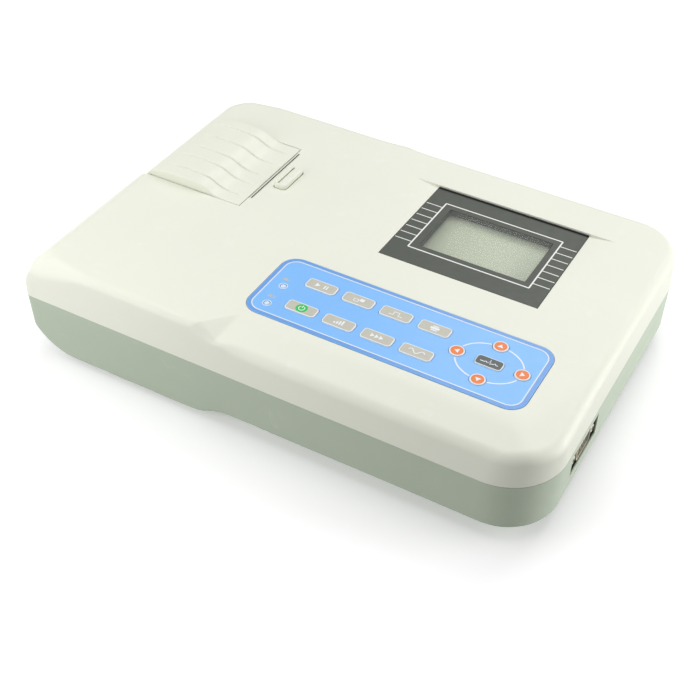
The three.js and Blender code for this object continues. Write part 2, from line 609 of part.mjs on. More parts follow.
add('print_head', box(-77.7, -76.1, 8.2, 59.4, 40, 51.4), 0xdcd6c4, 0.3);
add('head_carrier', cut(
  box(-75.8, -72.6, 7.2, 59.5, 40.5, 49),
  box(-74.4, -70, 11, 21, 47.8, 52)), 0xa9adb2, 0.4, 1);
for (const [name, y] of [['head_spring_front', 16], ['head_spring_back', 50]]) {
  add(name, helixAlong('x', [y, 44.2], -72.3, -63.7, 2.4, 0.35, 4), STEEL, 0.3, 1);
}
add('tear_bar', box(-76.7, -76.2, SLIT.front + GAP, SLIT.back - GAP, 52.4, TOP + 0.3), STEEL, 0.35, 1);
add('paper_roll', cut(
  rodY(ROLL.x, ROLL.z, ROLL.radius, ROLL.front, ROLL.back, 40),
  rodY(ROLL.x, ROLL.z, 6.3, 0, 70, 20)), 0xf4f1ee, 0.9);
add('paper_spindle', join(
  rodY(ROLL.x, ROLL.z, 6, 8, 58.7, 20),
  rodY(ROLL.x, ROLL.z, 3, 4.3, 62.4, 16)), 0x3a3c3e, 0.5);

const framed = cut(panelBlock(0, -PANEL.thick, 0),
  box(WINDOW.left, WINDOW.right, WINDOW.front, WINDOW.back, 50, TOP + 3));
add('display_panel', framed, CHARCOAL, 0.45);
add('display_window', panelBlock(0, -PANEL.thick + 0.1, -0.1).intersect(
  box(WINDOW.left + GAP, WINDOW.right - GAP, WINDOW.front + GAP, WINDOW.back - GAP, 50, TOP + 3)),
0xdfe4da, 0.05);
add('lcd_bezel', cut(
  box(20, 85.4, 14.4, 59.4, 47.6, 53.7),
  box(21, 84.4, 15.4, 58.4, 46, 53.1),
  box(WINDOW.left + 0.6, WINDOW.right - 0.6, WINDOW.front + 0.6, WINDOW.back - 0.6, 50, 56)), BLACK, 0.4, 0.6);
add('lcd_glass', box(21.4, 84, 15.8, 58, 50.2, 52.8), 0xc3cbb4, 0.2);
add('lcd_board', join(box(8, 97, 2, 70, 45, 46.6), box(12, 17, 20, 50, 46, 49.4)), BOARD, 0.5);

add('keypad_overlay', cut(
  slab(roundedShape(KEYPAD.left, KEYPAD.right, KEYPAD.front, KEYPAD.back, KEYPAD.corner),
    TOP - KEYPAD.thick, TOP + 0.15),
  ...keyHoles(TOP - 2, TOP + 2, GAP)), SKY, 0.35);
for (const [name, k] of Object.entries(KEYS)) {
  const color = name === 'set_key' ? CHARCOAL : 0xcbc8b9;
  add(name, slab(keyShape(k.x, k.y, k.width, k.depth, 0), KEY.bottom, KEY.top, 2), color, 0.4);
}
for (const [name, [x, y]] of Object.entries(ARROWS)) {
  add(name, rodZ(x, y, DIAL.radius, KEY.bottom, KEY.top, 20), 0xef9a5a, 0.4);
}
for (const [name, [x, y]] of Object.entries(LAMPS)) {
  add(name, rodZ(x, y, 1.5, 48.4, TOP + 0.3, 12), 0xdfe9f5, 0.2);
}
add('key_board', join(
  box(-34, 120, -77, -24, 46.2, 47.8),
  ...Object.values(KEYS).map(k => box(k.x - 2.5, k.x + 2.5, k.y - 2.5, k.y + 2.5, 47.5, 48.5)),
  ...Object.values(ARROWS).map(([x, y]) => box(x - 2.5, x + 2.5, y - 2.5, y + 2.5, 47.5, 48.5))), BOARD, 0.5);

add('main_board', join(
  box(-30, 120, -92, 20, 18, 19.6),
  box(-8, 20, -60, -32, 19, 22.4),
  box(34, 56, -50, -34, 19, 21.6),
  box(-20, 24, 4, 14, 19, 26),
  rodZ(42, -76, 5, 19, 32, 14),
  rodZ(56, -76, 5, 19, 32, 14)), BOARD, 0.5);
add('isolation_shield', box(76, 116, -66, -28, 20, 30), STEEL, 0.35, 1);
add('power_board', join(
  box(22, 130, 22, 71, 18, 19.6),
  box(30, 50, 34, 44, 19, 40),
  rodZ(64, 40, 8, 19, 40, 16),
  box(30, 60, 60, 68, 19, 27)), BOARD, 0.5);
add('transformer', join(box(84, 126, 29, 66, 20, 42), box(92, 118, 24, 70, 23, 39)), 0x55585c, 0.6);
add('battery_pack', box(BATTERY.left + 1, BATTERY.right - 1, BATTERY.front + 1, BATTERY.back - 1, 8.4, 28), 0x2f6f9f, 0.4);
add('battery_cover', box(BATTERY.left + GAP, BATTERY.right - GAP, BATTERY.front + GAP, BATTERY.back - GAP,
  LEFT_BOTTOM, 7.8), SAGE, 0.5);
add('patient_connector', patientConnector(), STEEL, 0.3, 1);
add('ac_inlet', acInlet(), BLACK, 0.5);
add('rocker_frame', rockerFrame(), BLACK, 0.5);
add('power_rocker', powerRocker(), 0x2a2a2c, 0.4);
add('fuse_cap', join(rearRod(REAR.fuse, 6, 84, 104, 20), rearRod(REAR.fuse, 7.6, 103.4, 107, 20)), BLACK, 0.5);
add('ground_post', join(rearRod(REAR.ground, 3, 92, 107, 16), rearRod(REAR.ground, 5, 103.4, 104.6, 6)), STEEL, 0.3, 1);
for (const [name, [x, y]] of Object.entries(FEET)) {
  add(name, rodZ(x, y, 6.4, 0, LEFT_BOTTOM - GAP, 24, 7), BLACK, 0.9);
}

export default group;
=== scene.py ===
import json
import math

import bmesh
import bpy
import numpy as np
from mathutils import Matrix, Vector
from mathutils.geometry import tessellate_polygon


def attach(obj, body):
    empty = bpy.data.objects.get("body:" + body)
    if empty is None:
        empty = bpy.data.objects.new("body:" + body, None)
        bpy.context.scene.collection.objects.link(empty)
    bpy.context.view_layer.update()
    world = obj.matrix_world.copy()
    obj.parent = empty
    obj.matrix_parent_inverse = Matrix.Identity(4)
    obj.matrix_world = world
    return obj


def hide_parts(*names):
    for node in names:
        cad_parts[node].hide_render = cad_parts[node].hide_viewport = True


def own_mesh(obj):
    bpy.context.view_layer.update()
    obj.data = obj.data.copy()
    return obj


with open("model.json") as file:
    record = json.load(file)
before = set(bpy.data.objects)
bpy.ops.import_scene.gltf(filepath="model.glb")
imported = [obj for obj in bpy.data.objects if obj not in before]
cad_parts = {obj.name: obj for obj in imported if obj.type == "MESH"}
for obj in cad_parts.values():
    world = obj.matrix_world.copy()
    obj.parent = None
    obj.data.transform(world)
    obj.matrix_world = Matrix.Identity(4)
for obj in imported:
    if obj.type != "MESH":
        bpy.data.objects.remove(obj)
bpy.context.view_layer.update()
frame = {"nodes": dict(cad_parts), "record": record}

MM = 0.001
TAU = 2 * math.pi
ALONG_X, ALONG_Y, UP = (1, 0, 0), (0, 1, 0), (0, 0, 1)

# ---------------------------------------------------------------- camera
CAMERA_TURN = (27.47, 41.35, 2.23)          # degrees: azimuth, elevation, roll
CAMERA_PLACE = (0.2385, -0.4731, 0.4513)
CAMERA_LENS = 64.28


def make_camera():
    azimuth, elevation, roll = (math.radians(turn) for turn in CAMERA_TURN)
    back = Vector((math.sin(azimuth) * math.cos(elevation),
                   -math.cos(azimuth) * math.cos(elevation), math.sin(elevation)))
    level = Vector((math.cos(azimuth), math.sin(azimuth), 0))
    upright = back.cross(level)
    right = level * math.cos(roll) + upright * math.sin(roll)
    up = upright * math.cos(roll) - level * math.sin(roll)
    data = bpy.data.cameras.new("camera")
    data.lens = CAMERA_LENS
    data.sensor_width = 36
    data.clip_start = 0.02
    data.clip_end = 20
    camera = bpy.data.objects.new("camera", data)
    bpy.context.scene.collection.objects.link(camera)
    place = Matrix.Identity(4)
    for column, axis in enumerate((right, up, back)):
        for row in range(3):
            place[row][column] = axis[row]
    place.translation = Vector(CAMERA_PLACE)
    camera.matrix_world = place
    bpy.context.scene.camera = camera


make_camera()
bpy.context.scene.view_settings.view_transform = "Standard"

# ---------------------------------------------------------------- sizes of the recorder, in millimetres
TOP, SEAM = 57.0, 37.4                      # top surface, and where the two shells meet
UNDER_TOP = TOP - 2.2                       # inner face of the top wall
RIGHT_BOTTOM, LEFT_BOTTOM = 9.8, 3.5        # underside: shallow on the right, deep on the left
HALF_X, HALF_Y = 145.0, 104.0
RADII = {"FL": 4.0, "FR": 30.0, "BR": 30.0, "BL": 22.0}
DRAFT = math.radians(17)
LEAN = (0.0, 0.25, 1.1, 0.6)                # shares of the draft: left, right, front, back
BELLY = (0.4, 0.1, 0.28, 1.0)               # the same for the lower shell
CREST = 3.4                                 # radius between the top and the walls
SLOPE_Y, SLOPE = -79.8, 0.271               # the strip along the front that slopes down
FACET_X, FACET_NORMAL = -27.6, (0.328, -0.2985, 0.8947)
CHEEK_X, CHEEK = 120.5, (0.25, 0.0735)      # where the slope fades out at the right
END_X, END_RUN = -112.0, 26.0               # the left end curves more from END_X to the left
BULGE, LOW_BULGE = 1.2, 1.3                 # how far the left end's wall swells
BULGE_BACK_Y, BULGE_LOSS = 62.0, 0.75       # the swelling fades by this share towards the back
BULGE_RISE = 6.5                            # height over the seam at which it is widest
RAMP_X, RAMP_NORMAL = -39.4, (0.471, 0.882)   # underside between the deep and the shallow part
NOSE_X, NOSE_REACH = -114.0, 32.2
HINGE_X, HINGE_Z = -139.2, 47.0
PLATEN_X, PLATEN_Z = -82.5, 48.8
COVER_Y = (-1.7, 64.6)
COVER_RIGHT = -78.5
COVER_GAP = 0.4
GROOVES, HALF_GROOVE = (6.9, 19.2, 29.7, 42.8, 56.0), 0.8
LUG_Y = (24, 40)
SLIT = (-80, -77.65, 7.4, 59.7)
PANEL = (7.3, 97.0, 0.0, 73.1)
WINDOW = (22.3, 83.1, 17.2, 56.6)
LEDGE_Y = 73.5
PANEL_TILT = math.radians(1.2)
KEYPAD = (-31.1, 119.5, -74.8, -26.0)
KEYPAD_CORNER = 9.0
KEY_TOP = TOP + 0.5
KEY_X = (-3.6, 17.6, 38.8, 60.0)
KEY_ROWS = (-40.9, -61.0)
KEY_FOOT = 49.4
DIAL = (93.2, -50.0)
BUTTON = (-72.1, -64.7, 23.6, 44.4)
LAMPS = {"power_lamp": (-20.8, -50.1), "charge_lamp": (-20.8, -65.8)}
SOCKET_Y, SOCKET_Z = -46.3, 25.5
REAR_Z, REAR_FACE = 24.6, 103.4             # height of the fittings on the back wall, and its outside
INLET_X, SWITCH_X, FUSE_X, EARTH_X = 100, 60, 36, 18
POSTS = ((-128, -88), (124, -70), (124, 76), (-116, 84))
SCREWS = ((-128, -76), (124, -56), (124, 62), (-120, 72), (4, -88), (4, 88))
FEET = {"foot_front_left": (-106, -86), "foot_back_left": (-106, 86),
        "foot_front_right": (108, -78), "foot_back_right": (108, 78)}
LID_X, LID_SCREW_Y = -72, -84.5


# ---------------------------------------------------------------- materials
def srgb(r, g, b):
    """Scene-linear colour from values of 0 to 255."""
    def linear(c):
        c /= 255
        return c / 12.92 if c <= 0.04045 else ((c + 0.055) / 1.055) ** 2.4
    return (linear(r), linear(g), linear(b), 1)


def wire(tree, kind, **settings):
    """New node; a setting is one of its properties or, with _ for a space, one of its inputs."""
    node = tree.nodes.new(kind)
    for name, value in settings.items():
        if hasattr(node, name):
            setattr(node, name, value)
        else:
            node.inputs[name.replace("_", " ")].default_value = value
    return node


def ramp(tree, source, low, high, to_low, to_high):
    """Maps the values of source between low and high to to_low and to_high."""
    node = wire(tree, "ShaderNodeMapRange", From_Min=low, From_Max=high, To_Min=to_low, To_Max=to_high)
    tree.links.new(source, node.inputs["Value"])
    return node.outputs["Result"]


def noise(tree, place, size, detail, roughness=0.5):
    """Noise with lumps of this size in millimetres."""
    node = wire(tree, "ShaderNodeTexNoise", Scale=1000 / size, Detail=detail, Roughness=roughness)
    tree.links.new(place, node.inputs["Vector"])
    return node.outputs["Fac"]


def blend(tree, share, under, over):
    """The flat colour over, laid on the colour under where share is 1."""
    node = wire(tree, "ShaderNodeMix", data_type="RGBA")
    node.inputs[7].default_value = over
    tree.links.new(share, node.inputs[0])
    tree.links.new(under, node.inputs[6])
    return node.outputs[2]


def material(name, color, rough, grain, depth, mottle, mottle_size=30, metal=0.0, wear=0.0, coat=0.0,
             specular=0.5, stretch=(1, 1, 1), shine=0.05, alpha=1.0, subsurface=0.0, second=None,
             second_size=4.0):
    """A moulded, drawn or printed surface: grain is the size in mm of its texture and depth its height."""
    m = bpy.data.materials.new(name)
    m.use_nodes = True
    tree = m.node_tree
    bsdf = tree.nodes["Principled BSDF"]
    settings = {"Metallic": metal, "Specular IOR Level": specular, "IOR": 1.46, "Coat Weight": coat,
                "Coat Roughness": 0.12, "Alpha": alpha}
    if subsurface:
        settings.update({"Subsurface Weight": subsurface, "Subsurface Radius": (0.004, 0.003, 0.002),
                         "Subsurface Scale": 0.3})
    for key, value in settings.items():
        bsdf.inputs[key].default_value = value
    where = wire(tree, "ShaderNodeTexCoord").outputs["Object"]
    scaled = wire(tree, "ShaderNodeMapping", Scale=stretch)
    tree.links.new(where, scaled.inputs["Vector"])
    place = scaled.outputs["Vector"]

    bump = wire(tree, "ShaderNodeBump", Strength=1.0, Distance=depth * MM)
    tree.links.new(noise(tree, place, grain, 3.0, 0.6), bump.inputs["Height"])
    tree.links.new(bump.outputs["Normal"], bsdf.inputs["Normal"])

    tint = wire(tree, "ShaderNodeVectorMath", operation="SCALE")
    tint.inputs[0].default_value = color[:3]
    broad = noise(tree, where, mottle_size, 4.0, 0.55)
    tree.links.new(ramp(tree, broad, 0.3, 0.7, 1 - mottle, 1 + mottle * 0.4), tint.inputs["Scale"])
    out = tint.outputs["Vector"]
    if second is not None:
        out = blend(tree, ramp(tree, noise(tree, place, second_size, 2.0), 0.5, 0.62, 0, 1), out, second)
    if wear:
        scuffs = ramp(tree, noise(tree, where, grain * 14, 6.0, 0.7), 0.6, 0.78, 0, wear)
        out = blend(tree, scuffs, out, tuple(min(1, c * 1.35 + 0.03) for c in color[:3]) + (1,))
    tree.links.new(out, bsdf.inputs["Base Color"])

    polish = noise(tree, place, grain * 6, 3.0)
    gloss = ramp(tree, polish, 0.3, 0.7, max(0.0, rough - shine), min(1.0, rough + shine))
    tree.links.new(gloss, bsdf.inputs["Roughness"])
    return m


# Name, colour, roughness, grain and its depth, mottling and its size, and anything else.
SURFACES = {
    "ivory": ("ivory_abs", (234, 236, 222), 0.44, 0.9, 0.006, 0.012, 60, {"wear": 0.25, "subsurface": 0.05}),
    "cover": ("cover_abs", (233, 236, 221), 0.4, 0.9, 0.005, 0.012, 50, {"wear": 0.2, "subsurface": 0.05}),
    "sage": ("sage_abs", (193, 205, 185), 0.5, 0.8, 0.01, 0.03, 45, {"wear": 0.3}),
    "charcoal": ("charcoal_film", (76, 81, 73), 0.45, 0.7, 0.003, 0.04, 20, {}),
    "white_ink": ("white_ink", (236, 238, 232), 0.4, 0.6, 0.002, 0.02, 30, {}),
    "blue_film": ("blue_film", (130, 190, 252), 0.36, 0.8, 0.004, 0.02, 25, {"coat": 0.1}),
    "blue_rim": ("blue_rim", (108, 161, 228), 0.36, 0.8, 0.004, 0.02, 25, {"coat": 0.1}),
    "key_beige": ("key_beige", (196, 193, 180), 0.42, 0.5, 0.004, 0.05, 3, {}),
    "key_white": ("key_white", (232, 240, 244), 0.4, 0.6, 0.003, 0.02, 30, {}),
    "key_dark": ("key_dark", (88, 94, 90), 0.42, 0.5, 0.003, 0.05, 4, {}),
    "key_orange": ("key_orange", (240, 128, 62), 0.4, 0.5, 0.003, 0.05, 4, {}),
    "key_green": ("key_green", (46, 196, 84), 0.4, 0.5, 0.003, 0.05, 4, {}),
    "lamp": ("lamp_lens", (214, 230, 246), 0.25, 0.5, 0.002, 0.05, 2, {"subsurface": 0.2}),
    "lcd": ("lcd_cell", (190, 198, 174), 0.34, 2.4, 0.0004, 0.05, 22, {"specular": 0.3}),
    "bezel": ("lcd_bezel_black", (66, 70, 65), 0.66, 0.4, 0.002, 0.04, 5, {}),
    "black": ("black_nylon", (34, 35, 36), 0.5, 0.5, 0.01, 0.12, 9, {"wear": 0.5}),
    "foot": ("foot_rubber", (44, 44, 44), 0.82, 0.35, 0.03, 0.2, 4, {"wear": 0.4}),
    "platen": ("platen_rubber", (38, 38, 40), 0.75, 0.3, 0.015, 0.15, 5, {"stretch": (1, 0.2, 1)}),
    "steel": ("ground_steel", (190, 192, 194), 0.28, 0.25, 0.003, 0.08, 10,
              {"metal": 1, "stretch": (1, 0.1, 1), "shine": 0.08}),
    "zinc": ("zinc_plate", (196, 196, 188), 0.34, 2.2, 0.004, 0.14, 7, {"metal": 1, "shine": 0.1}),
    "spring": ("spring_wire", (150, 150, 150), 0.3, 0.2, 0.003, 0.1, 3, {"metal": 1}),
    "tin": ("tin_plate", (232, 226, 202), 0.4, 1.0, 0.004, 0.12, 6,
            {"metal": 0.7, "wear": 0.4, "shine": 0.08}),
    "gold": ("gold_contact", (214, 178, 96), 0.25, 0.4, 0.002, 0.1, 2, {"metal": 1}),
    "aluminium": ("extruded_aluminium", (188, 190, 192), 0.38, 0.3, 0.004, 0.06, 12,
                  {"metal": 1, "stretch": (1, 0.05, 1)}),
    "can": ("motor_can", (150, 152, 156), 0.35, 0.5, 0.004, 0.1, 9, {"metal": 1, "stretch": (1, 0.15, 1)}),
    "nylon": ("grey_nylon", (206, 208, 198), 0.55, 0.7, 0.012, 0.06, 14,
              {"wear": 0.3, "second": srgb(186, 189, 180), "second_size": 9}),
    "acetal": ("natural_acetal", (228, 222, 204), 0.4, 0.5, 0.004, 0.05, 6, {"wear": 0.3, "subsurface": 0.1}),
    "ceramic": ("glazed_ceramic", (216, 208, 186), 0.2, 0.6, 0.002, 0.06, 8, {"coat": 0.4}),
    "paper": ("thermal_paper", (242, 238, 236), 0.8, 0.18, 0.02, 0.04, 6, {"stretch": (1, 0.06, 1)}),
    "board": ("solder_mask", (30, 92, 52), 0.35, 0.7, 0.02, 0.12, 6,
              {"second": srgb(46, 120, 66), "second_size": 2.4, "coat": 0.3}),
    "varnish": ("varnished_core", (70, 60, 50), 0.5, 0.5, 0.03, 0.2, 9, {"stretch": (1, 1, 0.1)}),
    "sleeve": ("battery_sleeve", (52, 92, 140), 0.3, 1.2, 0.01, 0.08, 16, {"coat": 0.3, "wear": 0.2}),
}
M = {key: material(name, srgb(*rgb), *numbers, **more)
     for key, (name, rgb, *numbers, more) in SURFACES.items()}
M["glass"] = material("window_acrylic", (0.8, 0.84, 0.8, 1), 0.06, 9, 0.0003, 0.01, alpha=0.07, shine=0.02)
BY_SLOT = {
    "ivory_plastic": "ivory", "sage_plastic": "sage", "cover_plastic": "cover", "button_plastic": "cover",
    "printer_plastic": "nylon", "gear_plastic": "acetal", "steel": "steel", "plated_steel": "zinc",
    "spring_steel": "spring", "platen_rubber": "platen", "head_ceramic": "ceramic",
    "head_aluminium": "aluminium",
    "motor_steel": "can", "thermal_paper": "paper", "black_plastic": "black", "panel_film": "charcoal",
    "window_acrylic": "glass", "lcd_cell": "lcd", "lcd_frame": "bezel", "circuit_board": "board",
    "keypad_film": "blue_film", "key_beige": "key_beige", "key_dark": "key_dark", "key_orange": "key_orange",
    "lamp_plastic": "lamp", "transformer_steel": "varnish", "battery_wrap": "sleeve", "foot_rubber": "foot",
    "connector_metal": "tin",
}
for part in frame["record"]["subparts"]:
    # The steel tear bar gets the dark bezel material as painted shade, so the slit under the cover's edge
    # reads black.
    surface = "bezel" if part["node"] == "tear_bar" else BY_SLOT[part["material_slot"]]
    for holder in frame["nodes"][part["node"]].material_slots:
        holder.material = M[surface]


# ---------------------------------------------------------------- mesh helpers
class Shape:
    """Vertices in millimetres, faces, and a material number per face."""

    def __init__(self):
        self.points, self.faces, self.paint = [], [], []

    def add(self, points, faces, paint=0):
        start = len(self.points)
        self.points += [tuple(p) for p in points]
        self.faces += [tuple(start + i for i in face) for face in faces]
        self.paint += [paint] * len(faces)
        return self

    def join(self, other):
        paint = self.paint + other.paint
        self.add(other.points, other.faces)
        self.paint = paint
        return self

    def move(self, change):
        """Replaces each point (x, y, z) by change(x, y, z)."""
        self.points = [change(*p) for p in self.points]
        return self


def build(name, shape, materials, sharp=35):
    """Object in metres from a shape in millimetres."""
    mesh = bpy.data.meshes.new(name)
    mesh.from_pydata([[c * MM for c in p] for p in shape.points], [], shape.faces)
    for m in materials:
        mesh.materials.append(M[m])
    mesh.polygons.foreach_set("material_index", shape.paint)
    obj = bpy.data.objects.new(name, mesh)
    bpy.context.scene.collection.objects.link(obj)
    smooth(obj, sharp)
    return obj


def smooth(obj, sharp):
    """Shades obj smooth, apart from its edges of more than sharp degrees."""
    bm = bmesh.new()
    bm.from_mesh(obj.data)
    bmesh.ops.dissolve_degenerate(bm, dist=2e-6, edges=bm.edges)
    bmesh.ops.recalc_face_normals(bm, faces=bm.faces)
    limit = math.radians(sharp)
    for face in bm.faces:
        face.smooth = True
    for edge in bm.edges:
        edge.smooth = len(edge.link_faces) == 2 and edge.calc_face_angle(TAU) < limit
    bm.to_mesh(obj.data)
    bm.free()


def finish_piece(obj, body, slot, *nodes):
    """Puts obj on the body that carries it and hides the CAD nodes it stands for; slot is not used."""
    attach(obj, body)
    if nodes:
        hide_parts(*nodes)
    return obj


def bake_modifiers(obj):
    """Replaces the mesh of obj by what its modifiers make of it."""
    bpy.context.view_layer.update()
    mesh = bpy.data.meshes.new_from_object(obj.evaluated_get(bpy.context.evaluated_depsgraph_get()))
    obj.modifiers.clear()
    old = obj.data
    obj.data = mesh
    bpy.data.meshes.remove(old)


def combine(obj, others, operation, sharp=35):
    """Adds shapes or objects to obj, cuts them away, or keeps only what lies inside them."""
    tools = []
    for other in others:
        tool = other
        if isinstance(other, Shape):
            tool = build("tool", other, [])
            tool.data.materials.append(obj.data.materials[0])
        boolean = obj.modifiers.new("boolean", "BOOLEAN")
        boolean.object = tool
        boolean.operation = operation
        boolean.solver = "MANIFOLD"
        tools.append(tool)
    bake_modifiers(obj)
    for tool in tools:
        bpy.data.objects.remove(tool, do_unlink=True)
    smooth(obj, sharp)
    return obj


def even_shading(obj):
    """Lets the large faces set the shading beside them, so that a cut-out leaves no streak."""
    obj.modifiers.new("weighted", "WEIGHTED_NORMAL").keep_sharp = True
    bake_modifiers(obj)


def band_faces(lengths, levels):
    """Quads between successive levels of closed loops that have these numbers of points."""
    count = sum(lengths)
    faces = []
    for level in range(levels - 1):
        start = level * count
        for n in lengths:
            for i in range(n):
                a, b = start + i, start + (i + 1) % n
                faces.append((a, b, b + count, a + count))
            start += n
    return faces


def ring_solid(rings, paint=0):
    """Solid through rings of equal count, each a list of 3-D points, capped at both ends."""
    n = len(rings[0])
    faces = band_faces([n], len(rings))
    faces.append(tuple(reversed(range(n))))
    faces.append(tuple(range((len(rings) - 1) * n, len(rings) * n)))
    return Shape().add([p for ring in rings for p in ring], faces, paint)


def around(x, y, width, depth):
    """Sides of a rectangle, from its centre and size."""
    return x - width / 2, x + width / 2, y - depth / 2, y + depth / 2


def rounded(x0, x1, y0, y1, r, margin=0.0, steps=8):
    """Rounded rectangle, grown by margin."""
    x0, x1, y0, y1, r = x0 - margin, x1 + margin, y0 - margin, y1 + margin, max(r + margin, 0.05)
    points = []
    for cx, cy, start in ((x1 - r, y0 + r, -90), (x1 - r, y1 - r, 0), (x0 + r, y1 - r, 90),
                          (x0 + r, y0 + r, 180)):
        for k in range(steps + 1):
            a = math.radians(start + 90 * k / steps)
            points.append((cx + r * math.cos(a), cy + r * math.sin(a)))
    return points


def ellipse(x, y, a, b, steps=40):
    return [(x + a * math.cos(TAU * k / steps), y + b * math.sin(TAU * k / steps)) for k in range(steps)]


def polar(r, a):
    """Point at distance r in the direction a."""
    return r * math.cos(a), r * math.sin(a)


def prism(loop, z0, z1, paint=0):
    return ring_solid([[(x, y, z) for x, y in loop] for z in (z0, z1)], paint)


def stacked(outline_at, levels, paint=0):
    """Solid from outline_at(margin) at each (margin, z) level."""
    return ring_solid([[(x, y, z) for x, y in outline_at(margin)] for margin, z in levels], paint)


def box_shape(x0, x1, y0, y1, z0, z1, bevel=0.0, paint=0):
    if not bevel:
        return prism([(x0, y0), (x1, y0), (x1, y1), (x0, y1)], z0, z1, paint)
    levels = [(-bevel, z0), (-0.3 * bevel, z0 + 0.3 * bevel), (0, z0 + bevel), (0, z1 - bevel),
              (-0.3 * bevel, z1 - 0.3 * bevel), (-bevel, z1)]
    return stacked(lambda m: rounded(x0, x1, y0, y1, bevel * 1.05, m, 3), levels, paint)


def cylinder(centre, axis, profile, sides=48, paint=0, phase=0.0):
    """Turned solid: profile is [radius, distance along axis] pairs from one end to the other."""
    frame_z = Vector(axis).normalized()
    helper = Vector((0, 0, 1)) if abs(frame_z.z) < 0.9 else Vector((1, 0, 0))
    frame_x = helper.cross(frame_z).normalized()
    frame_y = frame_z.cross(frame_x)
    rings = []
    for radius, along in profile:
        ring = []
        for k in range(sides):
            a = TAU * k / sides + phase
            ring.append(Vector(centre) + frame_z * along
                        + frame_x * radius * math.cos(a) + frame_y * radius * math.sin(a))
        rings.append(ring)
    return ring_solid(rings, paint)


def side_prism(points, y0, y1):
    """Outline of (x, z) points drawn along Y."""
    return ring_solid([[(x, y0, z) for x, z in points], [(x, y1, z) for x, z in points]])


def filled(loops, z, paint=0):
    """Flat area inside the first loop and outside the others; z is a height or a function of x and y."""
    height = z if callable(z) else lambda x, y: z
    flat = [[Vector((x, y, 0)) for x, y in loop] for loop in loops]
    points = [(x, y, height(x, y)) for loop in loops for x, y in loop]
    return Shape().add(points, [tuple(t) for t in tessellate_polygon(flat)], paint)


def inlay(loops, z, paint=0, thick=0.03):
    """A printed mark: a very thin plate with its top at z, a height or a function of x and y."""
    height = z if callable(z) else lambda x, y: z
    shape = filled(loops, height, paint)
    shape.join(filled(loops, lambda x, y: height(x, y) - thick, paint))
    sides = band_faces([len(loop) for loop in loops], 2)
    shape.faces += sides
    shape.paint += [paint] * len(sides)
    return shape


def plate(loops_at, z0, z1, bevel=0.15, paint=0):
    """Plate with holes; loops_at(margin) gives the outer loop shrunk and the holes grown by margin."""
    levels = [(bevel, z1), (bevel * 0.3, z1 - bevel * 0.3), (0, z1 - bevel), (0, z0)]
    shape = filled(loops_at(bevel), z1, paint)
    shape.join(filled(loops_at(0), z0, paint))
    points = [(x, y, z) for m, z in levels for loop in loops_at(m) for x, y in loop]
    shape.add(points, band_faces([len(loop) for loop in loops_at(0)], len(levels)), paint)
    return weld(shape)


def weld(shape):
    """Joins points that coincide."""
    seen, order, points = {}, [], []
    for p in shape.points:
        key = tuple(round(c, 4) for c in p)
        if key not in seen:
            seen[key] = len(points)
            points.append(p)
        order.append(seen[key])
    shape.points = points
    shape.faces = [tuple(order[i] for i in face) for face in shape.faces]
    return shape


# ---------------------------------------------------------------- rounded casing surfaces
def casing_outline(inset, front, back, side, corner):
    """Plan outline, counter-clockwise from the front left corner, with the same count at every inset."""
    x0, x1 = inset - HALF_X, HALF_X - inset
    y0, y1 = inset - HALF_Y, HALF_Y - inset
    arcs = []
    for x, y, turn, key in ((x0, y0, 180, "FL"), (x1, y0, 270, "FR"), (x1, y1, 0, "BR"), (x0, y1, 90, "BL")):
        r = max(RADII[key] - 0.8 * inset, 1.5)
        cx, cy = x - math.copysign(r, x), y - math.copysign(r, y)
        arcs.append([(cx + r * math.cos(math.radians(turn + 90 * k / corner)),
                      cy + r * math.sin(math.radians(turn + 90 * k / corner))) for k in range(corner + 1)])
    points = []
    for i, shares in enumerate((front, side, back, side)):
        points += arcs[i]
        (ax, ay), (bx, by) = arcs[i][-1], arcs[(i + 1) % 4][0]
        points += [(ax + (bx - ax) * t, ay + (by - ay) * t) for t in shares]
    return np.array(points)


def plain_outline(inset, corner=10):
    """Casing outline in even steps, as a loop of tuples."""
    return [tuple(p) for p in casing_outline(inset, even(10), even(10), even(10), corner)]


def wall_distance(x, y, inset, lean):
    x0, x1 = -HALF_X + lean[0] * inset, HALF_X - lean[1] * inset
    y0, y1 = -HALF_Y + lean[2] * inset, HALF_Y - lean[3] * inset
    px, py = x - (x0 + x1) / 2, y - (y0 + y1) / 2
    right = np.where(py > 0, RADII["BR"], RADII["FR"])
    left = np.where(py > 0, RADII["BL"], RADII["FL"])
    r = np.where(px > 0, right, left)
    r = np.maximum(r - 0.8 * inset, 1.5)
    qx, qy = np.abs(px) - (x1 - x0) / 2 + r, np.abs(py) - (y1 - y0) / 2 + r
    return np.hypot(np.maximum(qx, 0), np.maximum(qy, 0)) + np.minimum(np.maximum(qx, qy), 0) - r


def round_max(a, b, r):
    return np.minimum(-r, np.maximum(a, b)) + np.hypot(np.maximum(r + a, 0), np.maximum(r + b, 0))


def soft_max(a, b, k):
    h = np.maximum(k - np.abs(a - b), 0) / k
    return np.maximum(a, b) + h * h * k / 4


def soft_min(a, b, k):
    return -soft_max(-a, -b, k)


def left_end(x):
    """0 up to END_X, growing to 1 at the tip of the left end."""
    return np.clip((END_X - x) / END_RUN, 0, 1)


def swell(x, y):
    """Share of the left end's bulge: whole in front of the cover, a quarter behind it."""
    back = np.clip(y / BULGE_BACK_Y, 0, 1)
    return left_end(x) * (1 - BULGE_LOSS * back * back * (3 - 2 * back))


